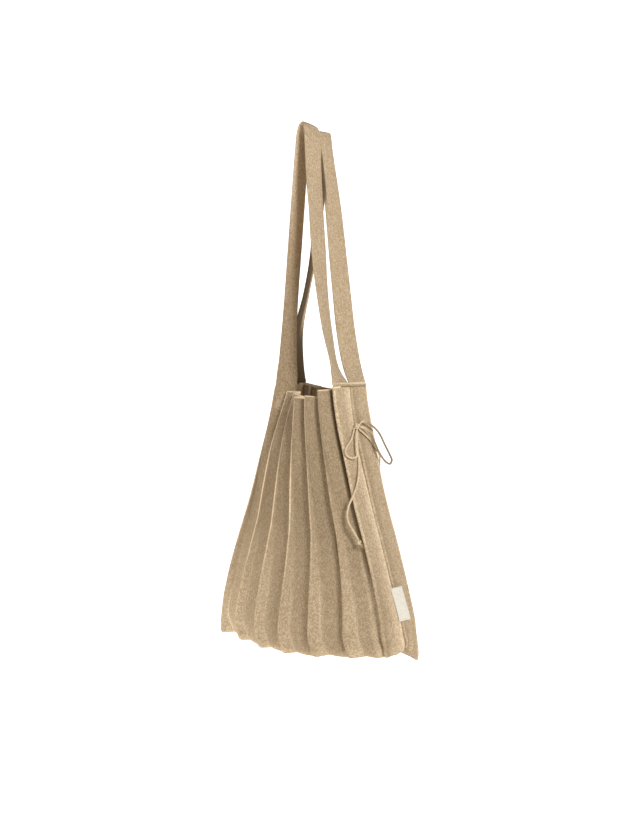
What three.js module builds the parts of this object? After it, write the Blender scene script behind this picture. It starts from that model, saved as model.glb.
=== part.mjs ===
// Pleated knit shoulder bag: a fan-shaped knit body in knife pleats, two flat straps,
// a blank woven label and a thin tie cord knotted on the right side.
// Millimetres, +Z up, front towards -Y. The origin is the hang point under the straps.
import * as THREE from 'three';

// Body
const RIM_Z = -267; // top edge of the two side gussets
const BODY_HEIGHT = 276; // gusset top to bottom edge
const WALL = 2; // thickness of the knit
const FOLD_RADIUS = 1.5; // of the wall's middle line in a fold
const CORNER_ROOM = 0.45; // share of a panel that the arc at its end may take
const MITRE_LIMIT = 0.6; // least cosine used when the wall gets its thickness at a corner
const SWING = -7.5; // the bottom hangs this far to the left of the rim
const PLEATS = 6; // knife pleats on the front, and on the back
const SIDE_DEPTH = 22.8; // half depth of a side gusset
const PANEL_FULLNESS = 0.7; // ridge left at the middle of a gusset panel, which is a little full
const LAST_VALLEY_INSET = 6; // last valley to the gusset, so that both walls have room
const DENT_PLACE = -0.5; // middle of the front rim's dent, as a share of the half width
const DENT_REACH = 0.6; // half length of that dent, as a share of the half width
const SAG_FADE = 60; // depth at which the rim's sag has faded out
const BACK_SAG_SHARE = 0.65; // the back rim sags less than the front rim
const CORNER_LIFT = 4; // the bottom rises this much at the two sides
const TIP_DROP = 5; // the corner behind the right gusset hangs down in a tip
const LIFT_START = 200; // depth from which the bottom's lift grows
const SEAM_HALF = 112; // half length of the seam along the underside
const SEAM_GAP = 0.8; // the seam's two edges stay this far from the middle plane
const SEAM_RISE = 1.5; // the underside is slightly hollow

// One row for each level of the body, by depth below the rim: half width, bulge of the wide
// walls, ridge of the side crease, dent of the front rim, then for the pleats the depth of the
// fold, how far a valley runs under the next fold, the flat strip beside the fold, and the share
// of the fold's depth that the strip takes.
const LEVELS = [
  { depth: 0, half: 48, bulge: 12, ridge: 1, dent: 14, fold: 10, under: 4, strip: 1.5, drop: 0.07 },
  { depth: 14, half: 50.5, bulge: 12.5, ridge: 0.7, dent: 11, fold: 10, under: 4, strip: 1.5, drop: 0.07 },
  { depth: 40, half: 57.5, bulge: 13.5, ridge: 0.3, dent: 6, fold: 10, under: 4, strip: 1.5, drop: 0.07 },
  { depth: 80, half: 70.8, bulge: 15, ridge: 0.5, dent: 1.5, fold: 9.5, under: 4, strip: 2, drop: 0.16 },
  { depth: 120, half: 85.5, bulge: 17, ridge: 0.7, dent: 0, fold: 9, under: 4, strip: 4, drop: 0.45 },
  { depth: 165, half: 104.5, bulge: 20, ridge: 0.8, dent: 0, fold: 8.5, under: 4, strip: 8, drop: 0.62 },
  { depth: 208, half: 121, bulge: 24, ridge: 0.6, dent: 0, fold: 8, under: 3.5, strip: 11, drop: 0.62 },
  { depth: 247, half: 131.5, bulge: 28.5, ridge: 0.4, dent: 0, fold: 7, under: 2, strip: 13.5, drop: 0.62 },
  { depth: 266, half: 133, bulge: 30, ridge: 0.3, dent: 0, fold: 5.5, under: 0.5, strip: 14.5, drop: 0.62 },
  { depth: 276, half: 131, bulge: 28.5, ridge: 0.3, dent: 0, fold: 4.5, under: -1, strip: 15, drop: 0.62 },
];

// One row for each fold from left to right: how far the rim sags at the fold and at the
// valley that follows it.
const RIM_SAG = [
  { fold: 0, valley: 0 },
  { fold: 7.5, valley: 7.5 },
  { fold: 8.8, valley: 11.4 },
  { fold: 12, valley: 14 },
  { fold: 10.3, valley: 11.9 },
  { fold: 4, valley: 3 },
  { fold: 1, valley: 0 },
];

// Straps
const STRAP_WIDTH = 22.5;
const STRAP_THICKNESS = 2.6;
const STRAP_STEPS = 44;
const STRAP_FOOT_Z = RIM_Z + 0.3; // a strap's end stands on the rim with a small gap
const TILT_FADE = 60; // height over which a strap's tilt at the top fades out

// One row for each section of a strap, from its left end over the top to its right end:
// height, place across and along the depth, and the turn of the width from +X in degrees.
const FRONT_STRAP = {
  topTilt: 16,
  rows: [
    { z: STRAP_FOOT_Z, x: -37.4, y: -14.6, turn: 40 },
    { z: -247, x: -36.8, y: -13.2, turn: 78 },
    { z: -212, x: -36.2, y: -11.8, turn: 96 },
    { z: -170, x: -31.8, y: -11.6, turn: 101 },
    { z: -127, x: -26.6, y: -11.6, turn: 101 },
    { z: -84, x: -22, y: -11.6, turn: 101 },
    { z: -53, x: -18.8, y: -11.6, turn: 101 },
    { z: -20, x: -13.2, y: -11.6, turn: 94 },
    { z: -4, x: -9.6, y: -11.6, turn: 91 },
    { z: 5.2, x: -2.8, y: -11.6, turn: 90 },
    { z: -4, x: 1.9, y: -11.6, turn: 90 },
    { z: -20, x: 3.6, y: -11.6, turn: 90 },
    { z: -53, x: 5, y: -11.6, turn: 95 },
    { z: -84, x: 7.8, y: -11.6, turn: 99 },
    { z: -127, x: 12.4, y: -11.8, turn: 99 },
    { z: -170, x: 18.6, y: -11.8, turn: 109 },
    { z: -212, x: 27.6, y: -11.8, turn: 115 },
    { z: -247, x: 39.8, y: -11.6, turn: 113 },
    { z: STRAP_FOOT_Z, x: 48.6, y: -11.4, turn: 89 },
  ],
};
const BACK_STRAP = {
  topTilt: 5,
  rows: [
    { z: STRAP_FOOT_Z, x: -48.6, y: 11.4, turn: 88 },
    { z: -247, x: -51, y: 11.6, turn: 98 },
    { z: -212, x: -49.8, y: 11.8, turn: 114 },
    { z: -170, x: -35.6, y: 11.8, turn: 126 },
    { z: -127, x: -22.8, y: 11.8, turn: 122 },
    { z: -84, x: -16.2, y: 11.8, turn: 110 },
    { z: -53, x: -12.6, y: 11.7, turn: 100 },
    { z: -20, x: -9.2, y: 11.6, turn: 92 },
    { z: -7, x: -7.6, y: 11.6, turn: 90 },
    { z: 1.8, x: -2.8, y: 11.6, turn: 90 },
    { z: -7, x: 1.8, y: 11.6, turn: 90 },
    { z: -20, x: 2.6, y: 11.6, turn: 93 },
    { z: -53, x: 5, y: 11.7, turn: 97 },
    { z: -84, x: 9.2, y: 11.8, turn: 94 },
    { z: -127, x: 15.6, y: 11.8, turn: 90 },
    { z: -170, x: 22.6, y: 11.7, turn: 86 },
    { z: -212, x: 30, y: 11.6, turn: 83 },
    { z: -247, x: 39.6, y: 11.5, turn: 84 },
    { z: STRAP_FOOT_Z, x: 48.6, y: 11.4, turn: 90 },
  ],
};

// Label over the crease of the right gusset, most of it behind
const LABEL_TOP = 203; // depth of its upper edge below the rim
const LABEL_BOTTOM = 238.5;
const LABEL_NEAR = -3.2; // place of its near edge along the depth, from the crease
const LABEL_WIDTH = 15.5;
const LABEL_TILT = 0.105; // it leans back by this share of its length
const LABEL_THICKNESS = 0.8;
const LABEL_GAP = 0.9; // between the label and the knit

// Tie cord
const CORD_DIAMETER = 2;
const CORD_SIDES = 8;
const CORD_STEP = 5;
const KNOT_RADIUS = 3;
const END_KNOT_RADIUS = 2;
const KNOT_PLACE = [61.2, -1, -307.5];
const END_FRONT_PLACE = [92.2, -24.6, -424.3];
const END_BACK_PLACE = [64.2, 28.8, -381.8];
const LOOP_RIGHT = [
  [61.4, 2.1, -306], [62, 7, -302.8], [63.4, 14, -305.5], [65.6, 25, -314.7], [68.4, 31.4, -328],
  [71.5, 35.6, -338.4], [73.6, 36.4, -343.6], [75, 32.6, -347.4], [75.6, 25.8, -344.6],
  [73.8, 19.6, -336.3], [70.8, 16.6, -327], [66.8, 13.6, -316.4], [64.2, 7.8, -310.2], [62.8, 2.2, -308],
];
const LOOP_LEFT = [
  [61.4, -4.6, -309.4], [63.4, -10, -320], [65.6, -18, -327.6], [67.4, -22, -332.2],
  [69, -20.8, -336.8], [70.4, -15.3, -339.6], [71, -9.8, -337.8], [68.4, -8.2, -328],
  [64.8, -5.4, -317], [63.2, -3.2, -311.6],
];
const TAIL_FRONT = [
  [61, -1, -311.8], [63.8, -3, -322], [67, -5, -331], [70.2, -6.6, -340], [73.2, -8.6, -348],
  [79.5, -16, -364], [82.5, -23.5, -375.6], [78, -26, -387], [76.5, -27, -397],
  [79.5, -27.4, -405], [86, -26, -414], [91, -24.6, -421.5],
];
const TAIL_BACK = [
  [61.3, 2, -310.9], [62.3, 8.2, -315.6], [64.5, 15.2, -322.6], [67, 20.8, -331],
  [66.6, 25.4, -338.4], [64.4, 27.4, -348], [63.4, 27.4, -360], [63.6, 27.8, -371], [64, 28.4, -379],
];

const KNIT = { color: 0xb89d74, roughness: 0.95, metalness: 0 };
const STRAP_KNIT = { color: 0xbba27b, roughness: 0.95, metalness: 0 };
const LABEL_CLOTH = { color: 0xe6ddc6, roughness: 0.85, metalness: 0 };
const CORD_YARN = { color: 0xcdb489, roughness: 0.9, metalness: 0 };

// A level of the body at any depth, between two rows of LEVELS.
function levelAt(depth) {
  const next = Math.max(1, LEVELS.findIndex((row) => row.depth >= depth));
  const low = LEVELS[next - 1];
  const high = LEVELS[next];
  const share = (depth - low.depth) / (high.depth - low.depth);
  const names = Object.keys(low);
  return Object.fromEntries(names.map((name) => [name, THREE.MathUtils.lerp(low[name], high[name], share)]));
}

// Where the front wall's fold line lies at a place across, dented near the rim.
function frontLine(level, x, dent) {
  const across = x / level.half;
  const reach = Math.min(1, Math.abs(across - DENT_PLACE) / DENT_REACH);
  const bulge = level.bulge * Math.max(0, 1 - across * across);
  return -(SIDE_DEPTH + bulge) + dent * Math.cos((reach * Math.PI) / 2) ** 2;
}

// How much of the bottom's lift and tip has grown at a depth.
function bottomShare(depth) {
  return Math.max(0, depth - LIFT_START) / (BODY_HEIGHT - LIFT_START);
}

// How far the bottom rises at a place across, towards the two sides.
function bottomLift(level, x) {
  const side = Math.min(1, Math.abs(x) / level.half);
  return CORNER_LIFT * side ** 4 * bottomShare(level.depth);
}

// Where a gusset's middle line lies across the bag, by the distance from its crease.
function gussetX(level, along) {
  const panel = level.half + level.ridge * PANEL_FULLNESS;
  const share = (2 * along) / SIDE_DEPTH;
  if (share < 1) {
    return THREE.MathUtils.lerp(level.half + level.ridge, panel, share);
  }
  return THREE.MathUtils.lerp(panel, level.half, share - 1);
}

// How far the wall at a depth hangs to the left.
function swingAt(depth) {
  return (SWING * depth) / BODY_HEIGHT;
}

// Corners of one wide wall and the gusset to its right, from the left corner to the side crease.
// A fold or valley is rounded later; a strip end or a panel's middle is a plain corner.
function wallCorners(level, dent, sagShare, tipDrop) {
  const pitch = (2 * level.half) / PLEATS;
  const corners = [];
  for (let i = 0; i <= PLEATS; i += 1) {
    const foldX = -level.half + i * pitch;
    const sag = RIM_SAG[i].fold * sagShare;
    const tip = i === 0 ? tipDrop : 0;
    corners.push({ x: foldX, y: frontLine(level, foldX, dent), sag, tip, rounded: true });
    if (i === PLEATS) {
      break;
    }
    const stripX = foldX + level.strip;
    const stripY = frontLine(level, stripX, dent) + level.fold * level.drop;
    corners.push({ x: stripX, y: stripY, sag, tip: 0, rounded: false });
    const isLast = i === PLEATS - 1;
    const valleyX = foldX + pitch + (isLast ? -LAST_VALLEY_INSET : level.under);
    const valleyY = frontLine(level, valleyX, dent) + level.fold;
    corners.push({ x: valleyX, y: valleyY, sag: RIM_SAG[i].valley * sagShare, tip: 0, rounded: true });
  }
  for (const along of [-SIDE_DEPTH / 2, 0, SIDE_DEPTH / 2]) {
    corners.push({ x: gussetX(level, Math.abs(along)), y: along, sag: 0, tip: 0, rounded: false });
  }
  return corners;
}

// Three points on an arc that rounds a corner between its two neighbours.
function roundCorner(before, corner, after) {
  const at = new THREE.Vector2(corner.x, corner.y);
  const back = new THREE.Vector2(before.x, before.y).sub(at);
  const ahead = new THREE.Vector2(after.x, after.y).sub(at);
  const room = CORNER_ROOM * Math.min(back.length(), ahead.length());
  back.normalize();
  ahead.normalize();
  const halfAngle = Math.acos(THREE.MathUtils.clamp(back.dot(ahead), -1, 1)) / 2;
  const tangent = Math.min(FOLD_RADIUS / Math.tan(halfAngle), room);
  const radius = tangent * Math.tan(halfAngle);
  const bisector = back.clone().add(ahead).normalize();
  const inset = radius / Math.sin(halfAngle) - radius;
  const places = [
    at.clone().addScaledVector(back, tangent),
    at.clone().addScaledVector(bisector, inset),
    at.clone().addScaledVector(ahead, tangent),
  ];
  return places.map((place) => ({ ...corner, x: place.x, y: place.y }));
}

// The wall's middle line at one depth, as a closed ring that runs right along the front.
function middleRing(depth) {
  const level = levelAt(depth);
  const front = wallCorners(level, level.dent, 1, 0);
  const back = wallCorners(level, 0, BACK_SAG_SHARE, TIP_DROP);
  const turned = back.map((corner) => ({ ...corner, x: -corner.x, y: -corner.y }));
  const corners = [...front, ...turned];
  const count = corners.length;
  return corners.flatMap((corner, i) => {
    if (!corner.rounded) {
      return [corner];
    }
    return roundCorner(corners[(i + count - 1) % count], corner, corners[(i + 1) % count]);
  });
}

// A ring moved out from the wall's middle line by a distance, at its heights in the bag.
function wallRing(depth, distance) {
  const ring = middleRing(depth);
  const level = levelAt(depth);
  const count = ring.length;
  return ring.map((point, i) => {
    const before = ring[(i + count - 1) % count];
    const after = ring[(i + 1) % count];
    const first = new THREE.Vector2(point.y - before.y, before.x - point.x).normalize();
    const second = new THREE.Vector2(after.y - point.y, point.x - after.x).normalize();
    const normal = first.clone().add(second).normalize();
    const reach = distance / Math.max(MITRE_LIMIT, normal.dot(first));
    const sagged = depth + point.sag * Math.max(0, 1 - depth / SAG_FADE) + point.tip * bottomShare(depth);
    return new THREE.Vector3(
      point.x + normal.x * reach + swingAt(depth),
      point.y + normal.y * reach,
      RIM_Z - sagged + bottomLift(level, point.x),
    );
  });
}

// The two edges of the seam along the underside, with a point for each point of a ring.
function seamRing(count, z) {
  const half = count / 2;
  return Array.from({ length: count }, (_, i) => {
    const share = (i % half) / (half - 1);
    const side = i < half ? 1 : -1;
    return new THREE.Vector3(side * SEAM_HALF * (2 * share - 1) + SWING, -side * SEAM_GAP, z);
  });
}

// A closed surface from rings of equal length: bands between neighbouring rings.
function addBands(triangles, rings) {
  for (let k = 0; k + 1 < rings.length; k += 1) {
    const upper = rings[k];
    const lower = rings[k + 1];
    upper.forEach((point, i) => {
      const j = (i + 1) % upper.length;
      triangles.push([point, lower[i], lower[j]], [point, lower[j], upper[j]]);
    });
  }
}

// The strip that joins the two edges of a seam ring, facing down or up.
function addSeam(triangles, ring, facesDown) {
  const half = ring.length / 2;
  for (let i = 0; i + 1 < half; i += 1) {
    const a = ring[i];
    const b = ring[i + 1];
    const c = ring[ring.length - 2 - i];
    const d = ring[ring.length - 1 - i];
    const faces = [[a, c, b], [a, d, c]];
    triangles.push(...(facesDown ? faces : faces.map(([p, q, r]) => [p, r, q])));
  }
}

function meshFrom(name, triangles, look) {
  const geometry = new THREE.BufferGeometry();
  const numbers = triangles.flatMap((corners) => corners.flatMap((corner) => [corner.x, corner.y, corner.z]));
  geometry.setAttribute('position', new THREE.Float32BufferAttribute(numbers, 3));
  geometry.computeVertexNormals();
  return namedMesh(name, geometry, look);
}

function namedMesh(name, geometry, look) {
  const mesh = new THREE.Mesh(geometry, new THREE.MeshStandardMaterial(look));
  mesh.name = name;
  return mesh;
}

// The knit shell: outer wall, underside, inner wall and floor, joined along the rim.
function makeBody() {
  const depths = LEVELS.map((level) => level.depth);
  const outer = depths.map((depth) => wallRing(depth, WALL / 2));
  const innerDepths = [...depths.slice(0, -1), BODY_HEIGHT - WALL];
  const inner = innerDepths.map((depth) => wallRing(depth, -WALL / 2));
  const count = outer[0].length;
  const under = seamRing(count, RIM_Z - BODY_HEIGHT + SEAM_RISE);
  const floor = seamRing(count, RIM_Z - BODY_HEIGHT + SEAM_RISE + WALL);
  const triangles = [];
  addBands(triangles, [floor, ...inner.reverse(), ...outer, under]);
  addSeam(triangles, under, true);
  addSeam(triangles, floor, false);
  return meshFrom('bag_body', triangles, KNIT);
}

// A flat strap: a rectangle carried along a smooth line and turned as the rows say.
function makeStrap(name, strap) {
  const line = new THREE.CatmullRomCurve3(strap.rows.map((row) => new THREE.Vector3(row.x, row.y, row.z)));
  const turns = new THREE.CatmullRomCurve3(strap.rows.map((row) => new THREE.Vector3(row.turn, 0, 0)));
  const tilt = THREE.MathUtils.degToRad(strap.topTilt);
  const rings = Array.from({ length: STRAP_STEPS + 1 }, (_, i) => {
    const share = i / STRAP_STEPS;
    const middle = line.getPoint(share);
    const along = line.getTangent(share);
    const turn = THREE.MathUtils.degToRad(turns.getPoint(share).x);
    const dip = Math.sin(tilt) * THREE.MathUtils.clamp(1 + middle.z / TILT_FADE, 0, 1);
    const across = new THREE.Vector3(Math.cos(turn), Math.sin(turn), -dip);
    const isEnd = i === 0 || i === STRAP_STEPS;
    if (isEnd) {
      along.set(0, 0, Math.sign(along.z));
    }
    across.addScaledVector(along, -across.dot(along)).normalize();
    const face = new THREE.Vector3().crossVectors(across, along);
    const corner = (wide, thick) => middle.clone()
      .addScaledVector(across, (wide * STRAP_WIDTH) / 2)
      .addScaledVector(face, (thick * STRAP_THICKNESS) / 2);
    return [corner(-1, -1), corner(1, -1), corner(1, 1), corner(-1, 1)];
  });
  const triangles = [];
  addBands(triangles, rings);
  const [a, b, c, d] = rings[0];
  const [e, f, g, h] = rings[STRAP_STEPS];
  triangles.push([a, b, c], [a, c, d], [e, g, f], [e, h, g]);
  return meshFrom(name, triangles, STRAP_KNIT);
}

// A blank label that lies over the gusset's crease, a seat gap away from it.
function makeLabel() {
  const corner = (depth, along, lift) => {
    const turned = depth - LABEL_TILT * (along - LABEL_NEAR - LABEL_WIDTH / 2);
    const place = along + LABEL_TILT * (depth - LABEL_TOP);
    const level = levelAt(turned);
    const surface = gussetX(level, Math.abs(place)) + WALL / 2 + LABEL_GAP + swingAt(turned);
    return new THREE.Vector3(surface + lift, place, RIM_Z - turned + bottomLift(level, level.half));
  };
  const columns = [LABEL_NEAR, 0, LABEL_NEAR + LABEL_WIDTH];
  const face = (lift) => [
    ...columns.map((along) => corner(LABEL_TOP, along, lift)),
    ...columns.toReversed().map((along) => corner(LABEL_BOTTOM, along, lift)),
  ];
  const cover = ([a, b, c, d, e, f]) => [[a, f, e], [a, e, b], [b, e, d], [b, d, c]];
  const front = face(LABEL_THICKNESS);
  const back = face(0);
  const triangles = [...cover(front), ...cover(back).map(([p, q, r]) => [p, r, q])];
  addBands(triangles, [back, front]);
  return meshFrom('label', triangles, LABEL_CLOTH);
}

// A round cord along its route.
function makeCord(name, route) {
  const path = new THREE.CatmullRomCurve3(route.map((place) => new THREE.Vector3(...place)));
  const section = new THREE.Shape();
  for (let i = 0; i < CORD_SIDES; i += 1) {
    const angle = (i * 2 * Math.PI) / CORD_SIDES;
    const x = (CORD_DIAMETER / 2) * Math.cos(angle);
    const y = (CORD_DIAMETER / 2) * Math.sin(angle);
    if (i === 0) {
      section.moveTo(x, y);
    } else {
      section.lineTo(x, y);
    }
  }
  section.closePath();
  const steps = Math.round(path.getLength() / CORD_STEP);
  const tube = new THREE.ExtrudeGeometry(section, { steps, extrudePath: path });
  return namedMesh(name, tube, CORD_YARN);
}

function makeKnot(name, place, radius, squash) {
  const mesh = namedMesh(name, new THREE.IcosahedronGeometry(radius, 1), CORD_YARN);
  mesh.scale.set(...squash);
  mesh.position.set(...place);
  return mesh;
}

const bag = new THREE.Group();
bag.add(makeBody());
bag.add(makeStrap('strap_front', FRONT_STRAP));
bag.add(makeStrap('strap_back', BACK_STRAP));
bag.add(makeLabel());
bag.add(makeKnot('tie_knot', KNOT_PLACE, KNOT_RADIUS, [0.9, 0.9, 1.1]));
bag.add(makeCord('tie_loop_right', LOOP_RIGHT));
bag.add(makeCord('tie_loop_left', LOOP_LEFT));
bag.add(makeCord('tie_tail_front', TAIL_FRONT));
bag.add(makeCord('tie_tail_back', TAIL_BACK));
bag.add(makeKnot('tie_end_front', END_FRONT_PLACE, END_KNOT_RADIUS, [1, 1, 1.2]));
bag.add(makeKnot('tie_end_back', END_BACK_PLACE, END_KNOT_RADIUS, [1, 1, 1.2]));

export default bag;
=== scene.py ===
# %% [markdown]
# # A pleated knit bag
#
# The bag is a fan-shaped knit body in knife pleats that hangs from two flat knit straps. A thin
# cord is tied in a bow on its right side, and a blank woven label is sewn on below the bow.
# The shape comes from a few tables of sizes, nearly the same ones as in the CAD part. Here each
# piece is made again as a fine numpy surface, so that its folds are round and soft. The script
# works in millimetres and turns them into metres when it makes a mesh.

import math

import bpy
import numpy as np
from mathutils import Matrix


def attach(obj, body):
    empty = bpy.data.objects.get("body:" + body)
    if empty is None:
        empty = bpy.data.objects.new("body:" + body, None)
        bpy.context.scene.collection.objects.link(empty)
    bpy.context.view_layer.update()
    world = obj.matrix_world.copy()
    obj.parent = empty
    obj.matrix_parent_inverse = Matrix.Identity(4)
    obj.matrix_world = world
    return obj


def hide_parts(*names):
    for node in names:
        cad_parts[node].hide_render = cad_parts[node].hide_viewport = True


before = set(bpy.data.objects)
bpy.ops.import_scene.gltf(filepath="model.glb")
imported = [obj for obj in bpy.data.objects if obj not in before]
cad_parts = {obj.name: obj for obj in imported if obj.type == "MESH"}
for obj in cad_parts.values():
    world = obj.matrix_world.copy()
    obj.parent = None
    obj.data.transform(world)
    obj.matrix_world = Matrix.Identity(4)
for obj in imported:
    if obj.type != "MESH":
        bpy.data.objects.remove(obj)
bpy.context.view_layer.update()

# %% [markdown]
# ## Camera
#
# The photo looks at the bag's right front corner from nearly its own height, from far away.
# So the camera stands 2.6 m off with a long lens, turned 50 degrees to the right. The picture's
# middle is below the camera's height, and that is a small tilt down. Blender's AUTO fit
# puts the sensor's width on the longer side of the picture, here its height.

# %% Camera
CAMERA_TURN = math.radians(50)
CAMERA_DISTANCE = 2.6
CAMERA_HEIGHT = -0.162
CAMERA_TILT = math.radians(2.81)
CAMERA_LENS = 109.6
CAMERA_SENSOR = 36

camera_data = bpy.data.cameras.new("camera")
camera_data.lens = CAMERA_LENS
camera_data.sensor_width = CAMERA_SENSOR
camera_data.dof.use_dof = False
camera = bpy.data.objects.new("camera", camera_data)
camera.location = (
    CAMERA_DISTANCE * math.sin(CAMERA_TURN),
    -CAMERA_DISTANCE * math.cos(CAMERA_TURN),
    CAMERA_HEIGHT,
)
camera.rotation_euler = (math.pi / 2 - CAMERA_TILT, 0, CAMERA_TURN)
bpy.context.scene.collection.objects.link(camera)
bpy.context.scene.camera = camera
print("camera at", [round(v, 3) for v in camera.location])

# %% [markdown]
# ## Surfaces from grids
#
# Every new piece is a grid of points: one direction runs round the piece, the other along it.
# Each four neighbours make a face. One function makes the mesh from such a grid, closes it round
# and puts a face on each end. It also stores the place of every point in the flat cloth, in metres,
# as the UV map. The knit pattern is drawn in that map, so it follows the cloth. A second function
# makes a whole bundle of thin tubes at once, for fibres and stitches.

# %% Tools for surfaces
def unit(vectors):
    """Each vector divided by its length."""
    length = np.linalg.norm(vectors, axis=-1, keepdims=True)
    return vectors / np.maximum(length, 1e-9)


def blunt(values, power):
    """Each value keeps its sign, and its size is raised to a power. With a power below 1 the
    cosines and sines of a circle turn into a flat oval with blunt ends."""
    return np.sign(values) * np.abs(values) ** power


def ramp(value, start, end):
    """0 up to the start, 1 from the end on, and a smooth S between them."""
    share = np.clip((value - start) / (end - start), 0, 1)
    return share * share * (3 - 2 * share)


print("a ramp is", ramp(0.5, 0, 1), "in its middle")

# %% Meshes from grids
def make_piece(name, points, cloth, end_faces):
    """A mesh from a grid of points in mm (rows, columns, 3) that is closed round its columns.
    Face (r, c) joins the points (r, c), (r, c+1), (r+1, c+1) and (r+1, c). cloth is the UV place
    of each point and has one column more. Where it has one row more as well, the last row joins
    the first. end_faces are more faces, as lists of point numbers."""
    rows, columns = points.shape[:2]
    r = np.arange(len(cloth) - 1)[:, None]
    c = np.arange(columns)[None, :]
    after = (c + 1) % columns
    first = r * columns
    below = (r + 1) % rows * columns
    quads = np.stack([first + c, first + after, below + after, below + c], axis=-1).reshape(-1, 4)
    places = np.stack([cloth[r, c], cloth[r, c + 1], cloth[r + 1, c + 1], cloth[r + 1, c]], axis=2)
    flat_cloth = cloth[:rows, :-1].reshape(-1, 2)
    end_places = [flat_cloth[np.array(face)] for face in end_faces]
    mesh = bpy.data.meshes.new(name)
    mesh.from_pydata((points.reshape(-1, 3) / 1000).tolist(), [], quads.tolist() + end_faces)
    uv_map = mesh.uv_layers.new(name="cloth")
    uv_places = np.concatenate([places.reshape(-1, 2), *end_places])
    uv_map.data.foreach_set("uv", uv_places.astype(np.float32).ravel())
    mesh.polygons.foreach_set("use_smooth", np.ones(len(mesh.polygons), bool))
    mesh.update()
    piece = bpy.data.objects.new(name, mesh)
    bpy.context.scene.collection.objects.link(piece)
    return piece


def mark_points(piece, values):
    """A number for each point of a piece, stored as an attribute of painted light and shade. Above 0
    the knit is painted lighter there, a painted highlight, and below 0 darker, a painted shade."""
    attribute = piece.data.attributes.new("painted_light", "FLOAT", "POINT")
    attribute.data.foreach_set("value", np.asarray(values, np.float32).ravel())


def tube_ends(rows, columns):
    """One face for each end of a tube, so that the tube is closed."""
    start = list(range(columns))[::-1]
    last = (rows - 1) * columns
    return [start, list(range(last, last + columns))]


def make_tubes(name, rings, is_smooth):
    """Many thin closed tubes in one mesh, from points in mm (tubes, rings, sides, 3). Each face
    joins two neighbours on a ring to the same two on the next one, and each end has a face."""
    tubes, count, sides = rings.shape[:3]
    numbers = (np.arange(tubes), np.arange(count - 1), np.arange(sides))
    tube, ring, side = np.meshgrid(*numbers, indexing="ij")
    base = (tube * count + ring) * sides
    after = (side + 1) % sides
    quads = np.stack([base + side, base + after, base + after + sides, base + side + sides], axis=-1)
    starts = (np.arange(tubes) * count * sides)[:, None]
    first = starts + np.arange(sides)[::-1]
    last = starts + (count - 1) * sides + np.arange(sides)
    faces = quads.reshape(-1, 4).tolist() + first.tolist() + last.tolist()
    mesh = bpy.data.meshes.new(name)
    mesh.from_pydata((rings.reshape(-1, 3) / 1000).tolist(), [], faces)
    mesh.uv_layers.new(name="cloth")
    mesh.polygons.foreach_set("use_smooth", np.full(len(faces), is_smooth))
    mesh.update()
    piece = bpy.data.objects.new(name, mesh)
    bpy.context.scene.collection.objects.link(piece)
    return piece


print("faces of a closed grid with 3 x 4 points:", 2 * 4 + len(tube_ends(3, 4)))

# %% Lines, and what every piece needs
LINE_STEPS = 40


def smooth_line(places, count):
    """A line through the places, at count points that are equally far apart. Between two places
    it is a cubic whose end slopes come from the two neighbours, spaced by the square root of
    their distance (the centripetal Catmull-Rom line that the CAD part uses). The first three
    columns are X, Y and Z, and any more are carried along."""
    p = np.asarray(places, float)
    p = np.vstack([2 * p[0] - p[1], p, 2 * p[-1] - p[-2]])
    gap = np.sqrt(np.linalg.norm(np.diff(p[:, :3], axis=0), axis=1))[:, None]
    t = np.linspace(0, len(p) - 3, LINE_STEPS * (len(p) - 3) + 1)
    i = np.minimum(t.astype(int), len(p) - 4)
    w = (t - i)[:, None]
    p0, p1, p2, p3 = p[i], p[i + 1], p[i + 2], p[i + 3]
    g0, g1, g2 = gap[i], gap[i + 1], gap[i + 2]
    leave = g1 * ((p1 - p0) / g0 - (p2 - p0) / (g0 + g1) + (p2 - p1) / g1)
    arrive = g1 * ((p2 - p1) / g1 - (p3 - p1) / (g1 + g2) + (p3 - p2) / g2)
    square = (3 * (p2 - p1) - 2 * leave - arrive) * w**2
    cube = (2 * (p1 - p2) + leave + arrive) * w**3
    line = p1 + leave * w + square + cube
    run = np.r_[0, np.cumsum(np.linalg.norm(np.diff(line[:, :3], axis=0), axis=1))]
    even = np.linspace(0, run[-1], count)
    return np.stack([np.interp(even, run, column) for column in line.T], axis=1), run[-1]


def finish_piece(piece, slot_name, *nodes):
    """The piece rides the bag's only body and stands for these CAD nodes. slot_name is not used."""
    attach(piece, "root")
    if nodes:
        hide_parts(*nodes)


bend = [(0, 0, 0), (10, 0, 0), (10, 10, 0)]
print("a smooth line round a corner of 10 and 10 mm is", round(smooth_line(bend, 2)[1], 2), "mm long")

# %% [markdown]
# ## The tie cord
#
# A thin twisted cord comes out of the side of the bag and is tied in a bow. On the real bag it
# hangs freely, so each free length is a cord of its own: two loops and two tails. A cord is a
# round profile carried along a line. To show its two twisted strands the profile is slightly
# oval, like two yarns side by side, and turns once every few millimetres. The right loop stands
# away from the bag, where less light reaches it, so that part of it is marked darker.

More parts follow.
